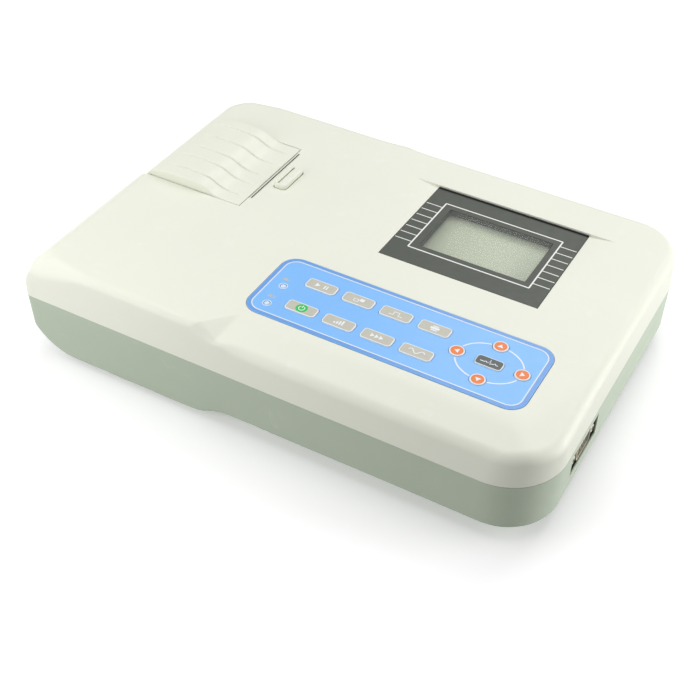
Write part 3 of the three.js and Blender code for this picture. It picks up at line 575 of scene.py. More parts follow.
def top_field(x, y, z):
    """Negative inside the upper shell."""
    bulge = swell(x, y) * (BULGE + BULGE * np.sin(np.clip((z - SEAM) / BULGE_RISE, 0, 1) * math.pi / 2))
    wall = wall_distance(x + bulge, y, (z - SEAM) * math.tan(DRAFT), LEAN) * math.cos(DRAFT)
    slope = (z - TOP + SLOPE * (SLOPE_Y - y)) / math.hypot(1, SLOPE)
    cheek = z - TOP + CHEEK[0] * (x - CHEEK_X) + CHEEK[1] * (SLOPE_Y - y)
    nx, ny, nz = FACET_NORMAL
    facet = nx * (x - FACET_X) + ny * (y - SLOPE_Y) + nz * (z - TOP)
    strip = soft_max(soft_min(slope, facet, 0.4), cheek, 1.2)
    blur = np.interp(x, (-26, -12, 80, 118), (0.12, 1.0, 1.0, 1.6))
    crest = CREST * (1 - 0.6 * np.exp(-((x - FACET_X) / 7) ** 2))
    crest = crest + 6.2 * left_end(x) + 1.4 * np.clip((x - 122) / 18, 0, 1)
    return round_max(soft_max(z - TOP, strip, blur), wall, crest)


def bottom_field(x, y, z):
    """Negative inside the lower shell."""
    bulge = LOW_BULGE * swell(x, y) * np.clip((z - 20) / (SEAM - 20), 0, 1)
    wall = wall_distance(x + bulge, y, 0.8 + (SEAM - z) / SEAM * 2.1, BELLY)
    ramp_side = RAMP_NORMAL[0] * (x - RAMP_X) - RAMP_NORMAL[1] * (z - LEFT_BOTTOM)
    deep = soft_max(LEFT_BOTTOM - z, ramp_side, 3.0)
    under = soft_min(RIGHT_BOTTOM - z, deep, 4.0)
    return round_max(wall, under, 1.3)


def nose_outline(shrink):
    """Side view of the left end of the lower shell, counter-clockwise from the seam."""
    turns = [math.pi + math.pi / 2 * k / 48 for k in range(49)]
    curve = [(NOSE_X + (NOSE_REACH - shrink) * math.cos(a), 31 + (27.5 - shrink) * math.sin(a))
             for a in turns]
    return [(NOSE_X - NOSE_REACH + shrink, SEAM + 10)] + curve


def ray_rings(field, offset, shares, angles, corner, turn=1, origin_z=SEAM):
    """Rings of points where rays from an inner spine, turned up (1) or down (-1), meet field = -offset."""
    inner = casing_outline(30, *shares, corner)
    out = casing_outline(0, *shares, corner) - inner
    out /= np.linalg.norm(out, axis=1)[:, None]
    rings = []
    for angle in angles:
        c, s = math.cos(math.radians(angle)), math.sin(math.radians(angle)) * turn
        low, high = np.zeros(len(inner)), np.full(len(inner), 70.0)
        for _ in range(34):
            mid = (low + high) / 2
            p = inner + out * (mid * c)[:, None]
            inside = field(p[:, 0], p[:, 1], origin_z + mid * s) < -offset
            low, high = np.where(inside, mid, low), np.where(inside, high, mid)
        p = inner + out * (low * c)[:, None]
        rings.append([(px, py, origin_z + d * s) for (px, py), d in zip(p, low)])
    return rings


def shares_between(start, stops, end):
    """Stations along a side as shares of its length; stops is [(position, spacing), ...]."""
    position, result = start, []
    for limit, spacing in stops:
        while position + spacing < limit - 1e-6:
            position += spacing
            result.append((position - start) / (end - start))
    return result


def even(n):
    return [k / n for k in range(1, n)]


FRONT = shares_between(-137, [(-76, 4), (-20, 0.55), (96, 5), (115, 1.5)], 115)
LOW_FRONT = shares_between(-143.5, [(-100, 3), (-60, 5), (-18, 1.0), (100, 6), (120, 2)], 120)


def key_places():
    return [(x, y, 17.0, 7.6) for y in KEY_ROWS for x in KEY_X] + [(*DIAL, 14.0, 7.0)]


def arrow_places():
    x, y = DIAL
    return {"left": (x - 17, y), "right": (x + 17, y), "up": (x, y + 13.5), "down": (x, y - 13.5)}


def keypad_edge(margin, steps=10):
    return rounded(*KEYPAD, KEYPAD_CORNER, margin, steps)


# ---------------------------------------------------------------- casing
def top_case():
    fine = [*np.linspace(0, 15, 6), *np.arange(17, 66, 1.0), *np.linspace(67, 90, 12)]
    rings = ray_rings(top_field, 0, (FRONT, even(30), even(24)), fine, 24)
    body = build("top_case", ring_solid(rings), ["ivory"])
    coarse = [0, 12, 24, 30, 34, 38, 42, 48, 56, 66, 78, 90]
    inner = ray_rings(top_field, 2.4, (even(60), even(20), even(20)), coarse, 8)
    combine(body, [ring_solid([[(x, y, SEAM - 2) for x, y, _ in inner[0]]] + inner)], "DIFFERENCE")

    x0, x1, y0, y1 = PANEL
    add = [box_shape(x0 - 4, x1 + 4, y0 - 4, LEDGE_Y + 3, 51.2, UNDER_TOP)]
    foot = SEAM + 1.4
    add += [cylinder((x, y, foot), UP, [(3.6, 0), (3.6, UNDER_TOP - foot)], 24) for x, y in POSTS]
    combine(body, add, "UNION")

    y0, y1 = COVER_Y[0] - COVER_GAP, COVER_Y[1] + COVER_GAP
    x0, x1, front, back = WINDOW
    above = 62
    cut = [stacked(lambda m: rounded(-160, COVER_RIGHT + COVER_GAP, y0, y1, 0.4, m, 3),
                   [(0, 50), (0, TOP - 0.25), (0.25, TOP), (0.25, TOP + 8)]),
           box_shape(-160, -137.5, y0, y1, 42.9, above),
           box_shape(*SLIT, 52, above),
           stacked(lambda m: rounded(*BUTTON, 1.6, 0.5 + m, 4),
                   [(0, 50), (0, TOP - 0.3), (0.3, TOP), (0.3, above)]),
           stacked(lambda m: keypad_edge(0.3 + m, 8),
                   [(0, TOP - 1.0), (0, TOP - 0.15), (0.15, TOP), (0.15, above)]),
           panel_block(0.3, -1.8, 6),
           ledge_wedge(),
           box_shape(x0 - 3, x1 + 3, front - 3.4, back + 3.4, 49, 60)]
    cut += [prism(rounded(*around(*place), 2, 0.3, 3), 50, 60) for place in key_places()]
    for r, places in ((4.3, arrow_places()), (1.9, LAMPS)):
        cut += [prism(ellipse(x, y, r, r, 24), 50, 60) for x, y in places.values()]
    combine(body, cut, "DIFFERENCE")

    arch = [(HINGE_X + dx, HINGE_Z + dz) for dx, dz in (polar(3.3, a) for a in np.linspace(0, math.pi, 13))]
    base = [(HINGE_X - 2.6, HINGE_Z - 0.5), (HINGE_X - 2.6, 42.6), (-143.9, 42.6), (-143.9, 40.1),
            (HINGE_X + 3.3, 40.1)]
    lugs = [build("lug", side_prism(arch + base, y - 2, y + 2), ["ivory"]) for y in LUG_Y]
    for lug, y in zip(lugs, LUG_Y):
        combine(lug, [cylinder((HINGE_X, y - 4, HINGE_Z), ALONG_Y, [(1.8, 0), (1.8, 8)], 24)], "DIFFERENCE")
    combine(body, lugs, "UNION", 28)
    even_shading(body)
    finish_piece(body, "case", "ivory_plastic", "top_shell")


def panel_block(margin, low, high):
    """Block under and over the display surround, tilted with it."""
    x0, x1, y0, y1 = PANEL
    x0, x1, y0, y1 = x0 - margin, x1 + margin, y0 - margin, y1 + margin
    c, s = math.cos(PANEL_TILT), math.sin(PANEL_TILT)
    return prism([(x0, y0), (x1, y0), (x1, y1), (x0, y1)], low, high).move(
        lambda x, y, z: (x, y * c + z * s, TOP - y * s + z * c))


def ledge_wedge():
    """The shallow dip round the display, deepest along its back edge and fading to each side."""
    x0, x1 = PANEL[:2]
    spread = 15.0
    depth = LEDGE_Y * math.sin(PANEL_TILT)
    columns = []
    for x, front, drop in ((x0 - spread, LEDGE_Y - 0.2, 0), (x0, 0.0, depth), (x1, 0.0, depth),
                           (x1 + spread, LEDGE_Y - 0.2, 0)):
        columns.append([(x, front, TOP + 3), (x, front, TOP + 0.001), (x, LEDGE_Y, TOP + 0.001 - drop),
                        (x, LEDGE_Y + 0.15, TOP + 3)])
    return ring_solid(columns)


def lower_skin():
    """Outside of the lower shell, from the seam down."""
    fine = [0, 5, 10, 15, 20, 24, 28, *np.arange(30, 66, 1.5), 68, 72, 76, 80, 84, 87, 90]
    back = [1 - t for t in reversed(LOW_FRONT)]
    corner, side = 14, 24
    rings = ray_rings(bottom_field, 0, (LOW_FRONT, even(side), back), fine, corner, -1, SEAM - 0.3)
    rings.reverse()
    n = len(rings[0])
    faces = band_faces([n], len(rings)) + [tuple(range((len(rings) - 1) * n, len(rings) * n))]
    # The underside is closed by strips that run from front to back, and a cap at each end.
    strips = len(LOW_FRONT) + 1
    far = 3 * (corner + 1) + len(LOW_FRONT) + side - 2
    for k in range(strips):
        faces.append((corner + k + 1, corner + k, far + strips - k, far + strips - 1 - k))
    faces.append(tuple(reversed(range(corner + strips, far + 1))))
    faces.append(tuple(reversed([*range(far + strips, n), *range(corner + 1)])))
    return Shape().add([p for ring in rings for p in ring], faces)


def bottom_case():
    body = build("bottom_case", lower_skin(), ["sage"])
    rings = [[(x, y, z) for x, y in plain_outline(inset, 8)] for inset, z in ((5.0, 0), (3.3, SEAM + 2))]
    tub = build("tub", ring_solid(rings), ["sage"])
    hollow = nose_outline(3.0) + [(-40.3, 5.9), (-28.5, 12.2), (160, 12.2), (160, SEAM + 10)]
    combine(tub, [side_prism(hollow, -120, 120)], "INTERSECT")
    whole = nose_outline(0) + [(160, LEFT_BOTTOM), (160, SEAM + 10)]
    combine(body, [side_prism(whole, -120, 120)], "INTERSECT")
    combine(body, [tub], "DIFFERENCE")

    ledge, lip, inside = (plain_outline(inset) for inset in (0.95, 4.0, 5.2))
    add = [plate(lambda m: [ledge, inside], SEAM - 3, SEAM - 0.35, 0.01),
           plate(lambda m: [lip, inside], SEAM - 3, SEAM + 2.2, 0.01)]
    for x, y in FEET.values():
        if x > 0:
            add.append(cylinder((x, y, LEFT_BOTTOM), UP, [(7.9, 0), (8.4, 0.5), (9.2, 6.6), (9.2, 7.4)]))
    for x, y in POSTS:
        low, height = (15.5, 23) if x < 0 else (11, 27.4)
        add.append(cylinder((x, y, low), UP, [(3.6, 0), (3.6, height)], 24))
    combine(body, add, "UNION")

    cut = [box_shape(136, 150, SOCKET_Y - 16.8, SOCKET_Y + 16.8, SOCKET_Z - 6.75, SOCKET_Z + 6.75),
           rear_box(INLET_X, 14, 96, 110, 10.3),
           rear_box(SWITCH_X, 11, 96, 110, 7.6),
           cylinder((FUSE_X, 96, REAR_Z), ALONG_Y, [(6.4, 0), (6.4, 14)], 32),
           cylinder((EARTH_X, 96, REAR_Z), ALONG_Y, [(3.4, 0), (3.4, 14)], 32),
           stacked(lambda m: rounded(-98, -46, -90, -42, 1.5, m, 4),
                   [(0.5, 2), (0.5, LEFT_BOTTOM), (0, LEFT_BOTTOM + 0.5), (0, 12)])]
    cut += [cylinder((x, y, low_side(x) - 1), UP, [(4.0, 0), (4.0, 1.01), (3.6, 1.4), (3.6, 2.9)], 32)
            for x, y in SCREWS]
    cut += [prism(rounded(16, 52, y, y + 2.2, 1.1, 0, 5), 7, 15) for y in range(-24, 30, 6)]
    combine(body, cut, "DIFFERENCE", 30)
    even_shading(body)
    finish_piece(body, "case", "sage_plastic", "bottom_shell")


def low_side(x):
    return LEFT_BOTTOM if x < 0 else RIGHT_BOTTOM


def rear_box(x, half_width, y0, y1, half_height):
    return box_shape(x - half_width, x + half_width, y0, y1, REAR_Z - half_height, REAR_Z + half_height)


def cover_profile():
    rise = TOP + 5.5
    knots = [(-142.6, HINGE_Z), (-142, 50.6), (-141.2, 54.4), (-139.3, 57.8), (-136.1, rise - 2.3),
             (-130.6, rise - 0.8), (-124, rise - 0.1), (-116.5, rise), (-109, rise - 0.3), (-104, rise - 1),
             (-100.2, rise - 2.5), (-97, rise - 4.1), (-93.8, rise - 5.1), (-90, TOP)]
    points = []
    for k in range(105):
        t = k / 104 * (len(knots) - 1)
        i = min(int(t), len(knots) - 2)
        w = t - i
        p = [knots[min(max(i + d, 0), len(knots) - 1)] for d in (-1, 0, 1, 2)]
        point = []
        for axis in (0, 1):
            a, b, c, d = (q[axis] for q in p)
            v0, v1 = (c - a) / 2, (d - b) / 2
            cube, square = 2 * b - 2 * c + v0 + v1, -3 * b + 3 * c - 2 * v0 - v1
            point.append(cube * w ** 3 + square * w ** 2 + v0 * w + b)
        points.append(point)
    points += [[x, TOP] for x in (-88, -86, -85, -84, -83, -82, -81, -80, -79.4, -79.1, -78.9)]
    points += [[-78.62, TOP - 0.08], [COVER_RIGHT, TOP - 0.4]]
    return np.array(points)


def cover_stations():
    """Places along Y: close together at the ends and across each groove, wider between."""
    y0, y1 = COVER_Y
    stations = {y0, y0 + 0.12, y0 + 0.35, y0 + 0.7, y1 - 0.7, y1 - 0.35, y1 - 0.12, y1}
    for g in GROOVES:
        stations |= {round(g + d, 3) for d in np.linspace(-HALF_GROOVE, HALF_GROOVE, 11)}
    stations |= {float(y) for y in np.arange(y0 + 2, y1 - 1, 2.6) if all(abs(y - g) > 1.3 for g in GROOVES)}
    return sorted(stations)


def cover_depth(x, y):
    """How far the cover's skin lies inside its profile: grooves, crowned strips between, round ends."""
    y0, y1 = COVER_Y
    groove_depth, crown_height, edge_radius = 0.55, 0.45, 0.7
    fade = np.clip((x + 133) / 9, 0, 1) * np.clip((-81.5 - x) / 3.5, 0, 1)
    fade = fade * fade * (3 - 2 * fade)
    crown = np.exp(-((x + 101) / 9.0) ** 2) * crown_height
    depth = np.zeros(len(x))
    for g in GROOVES:
        if abs(y - g) < HALF_GROOVE:
            depth += groove_depth * (0.5 + 0.5 * math.cos(math.pi * (y - g) / HALF_GROOVE)) * fade
    for a, b in zip((y0,) + GROOVES, GROOVES + (y1,)):
        if a < y < b:
            depth -= crown * math.sin(math.pi * (y - a) / (b - a)) ** 0.8
    edge = min(y - y0, y1 - y)
    if edge < edge_radius:
        depth += edge_radius - math.sqrt(max(edge_radius ** 2 - (edge_radius - edge) ** 2, 0))
    return depth


def shell_faces(n, m):
    """Faces of a closed shell: an outer and an inner grid, each m rows of n points, and the rim."""
    faces = []
    low = n * m
    for j in range(m - 1):
        for i in range(n - 1):
            a, b = j * n + i, j * n + i + 1
            faces.append((a, a + n, b + n, b))
            faces.append((low + a, low + b, low + b + n, low + a + n))
        a, b = j * n, j * n + n - 1
        faces.append((a, low + a, low + a + n, a + n))
        faces.append((b + n, low + b + n, low + b, b))
    faces += [(a, a + 1, low + a + 1, low + a) for a in range(n - 1)]
    faces += [(low + b, low + b + 1, b + 1, b) for b in range((m - 1) * n, m * n - 1)]
    return faces


def recorder_cover():
    outline = cover_profile()
    along = np.gradient(outline, axis=0)
    along /= np.linalg.norm(along, axis=1)[:, None]
    inward = np.stack([along[:, 1], -along[:, 0]], axis=1)
    inward[-3:] = (0, -1)
    y0, y1 = COVER_Y
    stations = cover_stations()
    points = []
    for y in stations:
        skin = outline + inward * cover_depth(outline[:, 0], y)[:, None]
        points += [(px, y, pz) for px, pz in skin]
    under = outline + inward * 2.2
    under[-2:] = (COVER_RIGHT, UNDER_TOP)
    under[-2, 0] = COVER_RIGHT - 0.15
    points += [(px, y, pz) for y in stations for px, pz in under]
    shape = Shape().add(points, shell_faces(len(outline), len(stations)))
    body = build("recorder_cover_skin", shape, ["cover"])

    raised = [(px, pz) for px, pz in outline + inward * 0.55 if -137 < px < -91]
    wall = raised + [(-91, 52), (-136.4, 52)]
    rib = [(-132, 58), (-112, 60.8), (-104, 60), (-104, 58.4), (-132, 56.4)]
    length = y1 - y0
    add = [side_prism(wall, y0, y0 + 2), side_prism(wall, y1 - 2, y1),
           cylinder((HINGE_X, y0, HINGE_Z), ALONG_Y,
                    [(3.0, 0), (3.4, 0.4), (3.4, length - 0.4), (3.0, length)], 40)]
    add += [box_shape(PLATEN_X - 4.2, -79.2, y, y + 2, 44.6, 56) for y in (2.4, 62.2)]
    add += [side_prism(rib, y - 0.6, y + 0.6) for y in (18, 33.4, 49)]
    combine(body, add, "UNION")
    cut = [cylinder((HINGE_X, y - 2.5, HINGE_Z), ALONG_Y, [(4.2, 0), (4.2, 5)], 40) for y in LUG_Y]
    cut.append(cylinder((HINGE_X, y0 - 1, HINGE_Z), ALONG_Y, [(1.8, 0), (1.8, length + 2)], 24))
    cut.append(cylinder((PLATEN_X, 0, PLATEN_Z), ALONG_Y, [(2.3, 0), (2.3, 66)], 24))
    combine(body, cut, "DIFFERENCE", 32)
    even_shading(body)
    finish_piece(body, "cover", "cover_plastic", "recorder_cover")


def tear_edge():
    """Serrated edge along the end of the cover, where the printed strip is torn off; it is coloured black as
    painted shade, so the slit beside it reads dark.
    """
    y0, y1, teeth = 7.8, 59.3, 34
    pitch = (y1 - y0) / teeth
    top, root, foot = TOP - 1.3, TOP - 1.65, 53.0
    points = [(y0, foot)]
    for k in range(teeth):
        points += [(y0 + pitch * k, root), (y0 + pitch * (k + 0.5), top)]
    points += [(y1, root), (y1, foot)]
    rings = [[(x, y, z) for y, z in points] for x in (COVER_RIGHT - 0.05, COVER_RIGHT + 0.35)]
    finish_piece(build("tear_edge", ring_solid(rings), ["black"], 20), "cover", "black_plastic")


def release_button():
    x0, x1, y0, y1 = BUTTON
    shape = stacked(lambda m: rounded(*BUTTON, 1.8, m, 6),
                    [(0, 54), (0, TOP + 1.75), (-0.12, TOP + 2.05), (-0.4, TOP + 2.25), (-0.9, TOP + 2.34),
                     (-1.6, TOP + 2.38)])
    body = build("release_button_cap", shape, ["cover"])
    flange = box_shape(x0 - 0.9, x1 + 0.9, y0 - 1, y1 + 1, 52.8, 54.0, 0.1)
    wedge = side_prism([(-71, 52.9), (-65.4, 52.9), (-69.7, 48.6), (-71, 48.6)], 31.6, 37)
    combine(body, [flange, wedge], "UNION", 30)
    step = stacked(lambda m: rounded(x0 + 1.7, x0 + 3.0, y0 + 1.2, y1 - 1.2, 0.6, m, 5),
                   [(0.25, TOP + 1.0), (0, TOP + 1.25), (-0.15, TOP + 2.6)])
    combine(body, [step], "DIFFERENCE", 30)
    finish_piece(body, "button", "button_plastic", "release_button")


# ---------------------------------------------------------------- display
def panel_z(y):
    return TOP - y * math.tan(PANEL_TILT)


def display_panel():
    x0, x1, y0, y1 = PANEL
    wx0, wx1, wy0, wy1 = WINDOW

    def tilt(x, y, z):
        return x, y, z + panel_z(y)

    def ink_z(x, y):
        return panel_z(y) + 0.02

    shape = plate(lambda m: [rounded(x0, x1, y0 + 0.05, y1 - 0.5, 0.6, -m, 3),
                             rounded(*WINDOW, 0.5, m, 3)], -1.2, 0).move(tilt)
    border = (17.7, 86.9, 13.3, 60.7)
    line = 0.42
    shape.join(inlay([rounded(*border, 0.3, line, 2), rounded(*border, 0.3, -line, 2)], ink_z, 1))
    for k in range(7):
        y = border[3] - 4.7 - 6.33 * k
        for a, b in ((x0 + 0.5, border[0] - line), (border[1] + line, x1 - 0.5)):
            shape.join(inlay([[(a, y - 0.3), (b, y - 0.3), (b, y + 0.3), (a, y + 0.3)]], ink_z, 1))
    # A black strip along the back edge, under the ledge: painted shade for the shadow line there.
    shape.join(box_shape(x0 + 0.05, x1 - 0.05, y1 - 0.55, y1 + 0.2, TOP - 3.1, TOP - 0.85, 0.08, 2))
    surround = build("display_surround", shape, ["charcoal", "white_ink", "black"], 30)
    even_shading(surround)
    finish_piece(surround, "case", "panel_film", "display_panel")

    pane = stacked(lambda m: rounded(*WINDOW, 0.6 + 0.3, m - 0.3, 3),
                   [(0, -1.1), (0, -0.25), (-0.12, -0.13)]).move(tilt)
    finish_piece(build("display_pane", pane, ["glass"], 30), "case", "window_acrylic", "display_window")

    bezel = (20, 85.4, 14.4, 59.4)
    ribs = plate(lambda m: [rounded(*bezel, 0.8, -m, 3),
                            rounded(wx0 - 1.1, wx1 + 1.1, wy0 - 1.1, wy1 + 1.4, 0.4, m, 3)], 53.1, 54.3, 0.1)
    ribs.join(plate(lambda m: [rounded(*bezel, 0.8, 0, 3), rounded(*bezel, 1.4, -1, 3)], 47.6, 53.2, 0.02))
    finish_piece(build("lcd_frame", ribs, ["bezel"], 30), "case", "lcd_frame", "lcd_bezel")
    cell = plate(lambda m: [rounded(21.4, 84, 15.8, 58, 0.5, -m, 3)], 49.4, 51.2, 0.1)
    finish_piece(build("lcd_cell", cell, ["lcd"], 30), "case", "lcd_cell", "lcd_glass")


# ---------------------------------------------------------------- keypad
def keypad_film():
    rounds = [(x, y, 4.2) for x, y in arrow_places().values()] + [(x, y, 1.8) for x, y in LAMPS.values()]

    def loops(m):
        return ([keypad_edge(-m)] + [rounded(*around(*place), 2, 0.28 + m, 4) for place in key_places()]
                + [ellipse(x, y, r + m, r + m, 28) for x, y, r in rounds])

    shape = plate(loops, TOP - 0.7, TOP + 0.14, 0.12)
    z = TOP + 0.16
    shape.join(inlay([keypad_edge(-0.25), keypad_edge(-2.3)], z, 1))
    shape.join(inlay([keypad_edge(-2.3), keypad_edge(-2.85)], z + 0.005, 2, 0.035))
    x, y = DIAL
    steps = 18
    for quarter in range(4):
        turns = [math.radians(90 * quarter + 90 * k / steps) for k in range(steps + 1)]
        outer, inner = ([(x + a * math.cos(t), y + b * math.sin(t)) for t in turns]
                        for a, b in ((17.35, 13.85), (16.65, 13.15)))
        keep = [i for i, (px, py) in enumerate(outer)
                if all(math.hypot(px - ax, py - ay) > 4.4 for ax, ay in arrow_places().values())]
        shape.join(inlay([[outer[i] for i in keep] + [inner[i] for i in reversed(keep)]], z, 2))
    for lx, ly in LAMPS.values():
        shape.join(inlay([ellipse(lx, ly, r, r, 28) for r in (2.35, 1.95)], z, 2))
    for mark in lamp_icons():
        shape.join(inlay(mark, z, 3))
    film = build("keypad_film", shape, ["blue_film", "blue_rim", "white_ink", "key_beige"], 30)
    even_shading(film)
    finish_piece(film, "case", "keypad_film", "keypad_overlay")


def bar(x, y, width, height):
    x0, x1, y0, y1 = around(x, y, width, height)
    return [(x0, y0), (x1, y0), (x1, y1), (x0, y1)]


def bars(*places):
    return [[bar(*place)] for place in places]


def stroke(points, width):
    """A line of constant width through points, as one loop."""
    left, right = [], []
    for i, (x, y) in enumerate(points):
        ax, ay = points[max(i - 1, 0)]
        bx, by = points[min(i + 1, len(points) - 1)]
        length = math.hypot(bx - ax, by - ay)
        nx, ny = -(by - ay) / length * width / 2, (bx - ax) / length * width / 2
        left.append((x + nx, y + ny))
        right.append((x - nx, y - ny))
    return left + right[::-1]


def hollow_mark(x0, x1, y0, y1, r, line):
    return [rounded(x0, x1, y0, y1, r, margin, 2) for margin in (0, -line)]


def lamp_icons():
    """A mains plug and a battery, beside the two lamps."""
    plug = bars((-22.4, -44.9, 2.2, 1.6), (-23.9, -45.2, 0.9, 0.35), (-23.9, -44.6, 0.9, 0.35),
                (-20.6, -44.9, 1.4, 0.4))
    cell = [hollow_mark(-23.4, -19.8, -60.9, -59.1, 0.2, 0.35)]
    return plug + cell + bars((-19.5, -60, 0.4, 0.8), (-22.2, -60, 1.2, 0.8))


def key_icons():
    """Plain generic marks for the nine keys, centred on 0, 0."""
    pulse = [(-4.6, -0.5), (-2.4, -0.5), (-1.7, 0.1), (-1.1, -0.5), (-0.5, -0.9), (0.1, 2.1), (0.8, -1.6),
             (1.3, -0.5), (2.2, -0.5), (2.9, 0.4), (3.5, -0.5), (4.6, -0.5)]
    wave = [(-4.4 + 0.3 * k, 1.3 * math.sin(k * 0.3 * 1.05 + 0.2)) for k in range(30)]
    step = [(-3.6, -1.2), (-1.4, -1.2), (-1.4, 1.3), (1.4, 1.3), (1.4, -1.2), (3.6, -1.2)]
    return {
        "start": [[[(-3.4, -1.5), (-0.9, 0), (-3.4, 1.5)]]] + bars((1.6, 0, 0.7, 2.8), (3.0, 0, 0.7, 2.8)),
        "mode": [hollow_mark(-2.6, 0.2, -1.6, 0.6, 0.3, 0.4), [rounded(0.6, 3.0, -0.5, 1.6, 0.3, 0, 2)]],
        "calibration": [[stroke(step, 0.55)]],
        "print": [[rounded(-2.4, 2.4, -0.7, 0.8, 0.3, 0, 2)]] + bars((0, 1.5, 3.0, 0.7), (0, -1.5, 3.4, 0.8)),
        "power": [],
        "sensitivity": bars((-2.2, -0.9, 0.9, 1.2), (-0.8, -0.5, 0.9, 2.0), (0.6, -0.1, 0.9, 2.8),
                            (2.0, 0.3, 0.9, 3.4)),
        "speed": [[[(x, -1.4), (x + 2.1, 0), (x, 1.4)]] for x in (-3.6, -1.2, 1.2)],
        "filter": [[stroke(wave, 0.5)]],
        "set": [[stroke(pulse, 0.5)]],
    }


def one_key(name, place, marks):
    x, y = place[:2]
    face = "key_dark" if name == "set" else "key_beige"

    def edge(m):
        return rounded(*around(*place), 2.0, m, 6)

    shape = stacked(edge, [(0, KEY_FOOT), (0, KEY_TOP - 0.22), (-0.07, KEY_TOP - 0.07), (-0.22, KEY_TOP)])
    z = KEY_TOP + 0.02
    shape.join(inlay([edge(-0.5 if name == "set" else -0.62)], z, 1))
    for loops in marks:
        shape.join(inlay([[(x + px, y + py) for px, py in loop] for loop in loops], z + 0.02))
    if name == "power":
        shape.join(inlay([ellipse(x, y, 3.1, 3.1, 36)], z + 0.02, 2))
        turns = np.linspace(math.radians(125), math.radians(415), 24)
        ring = [(x + 1.55 * math.cos(a), y + 1.55 * math.sin(a)) for a in turns]
        shape.join(inlay([stroke(ring, 0.45)], z + 0.04))
        shape.join(inlay([bar(x, y + 1.3, 0.45, 1.9)], z + 0.045))
    key = build(name + "_key_cap", shape, ["key_white", face, "key_green"], 30)
    finish_piece(key, name + "_button", face, name + "_key")


def arrow_key(name, x, y, turn):
    shape = cylinder((x, y, KEY_FOOT), UP, [(3.9, 0), (3.9, 7.88), (3.83, 8.03), (3.68, 8.1)], 40)
    z = KEY_TOP + 0.02
    shape.join(inlay([ellipse(x, y, 3.2, 3.2, 36)], z, 1))
    c, s = polar(1, math.radians(turn))
    tip = [(x + px * c - py * s, y + px * s + py * c)
           for px, py in ((-1.55, -0.95), (1.55, -0.95), (0, 1.35))]
    shape.join(inlay([tip], z + 0.02))
    key = build(name + "_key_cap", shape, ["key_white", "key_orange"], 30)
    finish_piece(key, name + "_button", "key_orange", name + "_key")


def keys():
    for (name, marks), place in zip(key_icons().items(), key_places()):
        one_key(name, place, marks)
    turns = {"up": 0, "left": 90, "down": 180, "right": 270}
    for name, (x, y) in arrow_places().items():
        arrow_key(name, x, y, turns[name])
    for name, (x, y) in LAMPS.items():
        dome = cylinder((x, y, KEY_FOOT - 1), UP,
                        [(1.5, 0), (1.5, 8.55), (1.35, 8.75), (0.9, 8.9), (0.4, 8.96)], 28)
        finish_piece(build(name + "_lens", dome, ["lamp"], 40), "case", "lamp_plastic", name)


# ---------------------------------------------------------------- sockets, switch and feet
def dee(grow, x0, x1, paint=0):
    """Block along X with the outline of a D-type connector round the socket's middle."""
    w, h = 9.1 + grow, 4.1 + grow
    corners = [(-w + 1.6, -h), (w - 1.6, -h), (w, h), (-w, h)]
    r = 1.4 + grow
    loop = []
    for i, corner in enumerate(corners):
        p = np.array(corner)
        ends = []
        for other in (corners[i - 1], corners[(i + 1) % 4]):
            side = np.array(other) - p
            ends.append(p + side / math.hypot(*side) * r)
        for k in range(7):
            t = k / 6
            loop.append((1 - t) ** 2 * ends[0] + 2 * t * (1 - t) * p + t * t * ends[1])
    return ring_solid([[(x, SOCKET_Y + a, SOCKET_Z + b) for a, b in loop] for x in (x0, x1)], paint)


def socket_plate(half_y, half_z, corner, low, high, bevel, paint=1, hole=None):
    """Plate facing right, centred on the patient socket; hole is the half sizes and corner of its opening."""
    def loops(m):
        outer = rounded(-half_y, half_y, -half_z, half_z, corner, -m, 4)
        return [outer] + ([rounded(-hole[0], hole[0], -hole[1], hole[1], hole[2], m, 4)] if hole else [])

    return plate(loops, low, high, bevel, paint).move(lambda a, b, c: (c, SOCKET_Y + a, SOCKET_Z + b))


def patient_socket():
    y, z, face = SOCKET_Y, SOCKET_Z, 141.2
    shape = plate(lambda m: [rounded(y - 15.4, y + 15.4, z - 6.25, z + 6.25, 1.6, -m, 5)],
                  face - 1, face, 0.2)
    body = build("patient_socket", shape.move(lambda a, b, c: (c, a, b)), ["tin", "black", "gold"])
    shell = build("shell", dee(0.55, face - 0.4, face + 3.2), ["tin"])
    combine(shell, [dee(0, face + 0.2, face + 4)], "DIFFERENCE")
    combine(body, [shell], "UNION", 30)
    finish_piece(body, "case", "connector_metal", "patient_connector")

    extras = dee(-0.6, face - 0.3, face + 2.6, 1)
    # Two black plates, one behind the socket face and one lining the opening in the case: painted shade in
    # the recess round the socket.
    extras.join(socket_plate(16.7, 6.65, 0.8, face - 2.4, face - 0.8, 0.1))
    extras.join(socket_plate(16.75, 6.7, 0.8, face - 0.85, face + 3.1, 0.1, hole=(16.3, 6.25, 0.6)))
    extras.join(box_shape(126, face - 1.1, y - 10, y + 10, z - 5.2, z + 5.2, 0.3, 1))
    for count, dz in ((5, 1.42), (4, -1.42)):
        for k in range(count):
            place = (face + 2.56, y + 2.77 * (k - (count - 1) / 2), z + dz)
            extras.join(cylinder(place, ALONG_X, [(0.62, 0), (0.62, 0.06)], 12, 2))
    for hy in (y - 12.5, y + 12.5):
        extras.join(cylinder((face - 0.05, hy, z), ALONG_X, [(2.3, 0), (2.45, 0.15), (2.45, 2.7), (2.2, 3.0),
                                                             (1.2, 3.0), (1.2, 3.02)], 6, 0, math.pi / 6))
        # A thin black disc on each post's end stands for its threaded hole: painted shade.
        extras.join(cylinder((face + 2.98, hy, z), ALONG_X, [(1.15, 0), (1.15, 0.06)], 16, 1))
    fittings = build("patient_socket_fittings", extras, ["tin", "black", "gold"], 30)
    finish_piece(fittings, "case", "connector_metal")


def rear_plate(loops_at, low, high, bevel):
    """Plate facing the back: loops in (x, z), thickness from y = low to y = high."""
    return plate(loops_at, low, high, bevel).move(lambda a, b, c: (a, c, b))


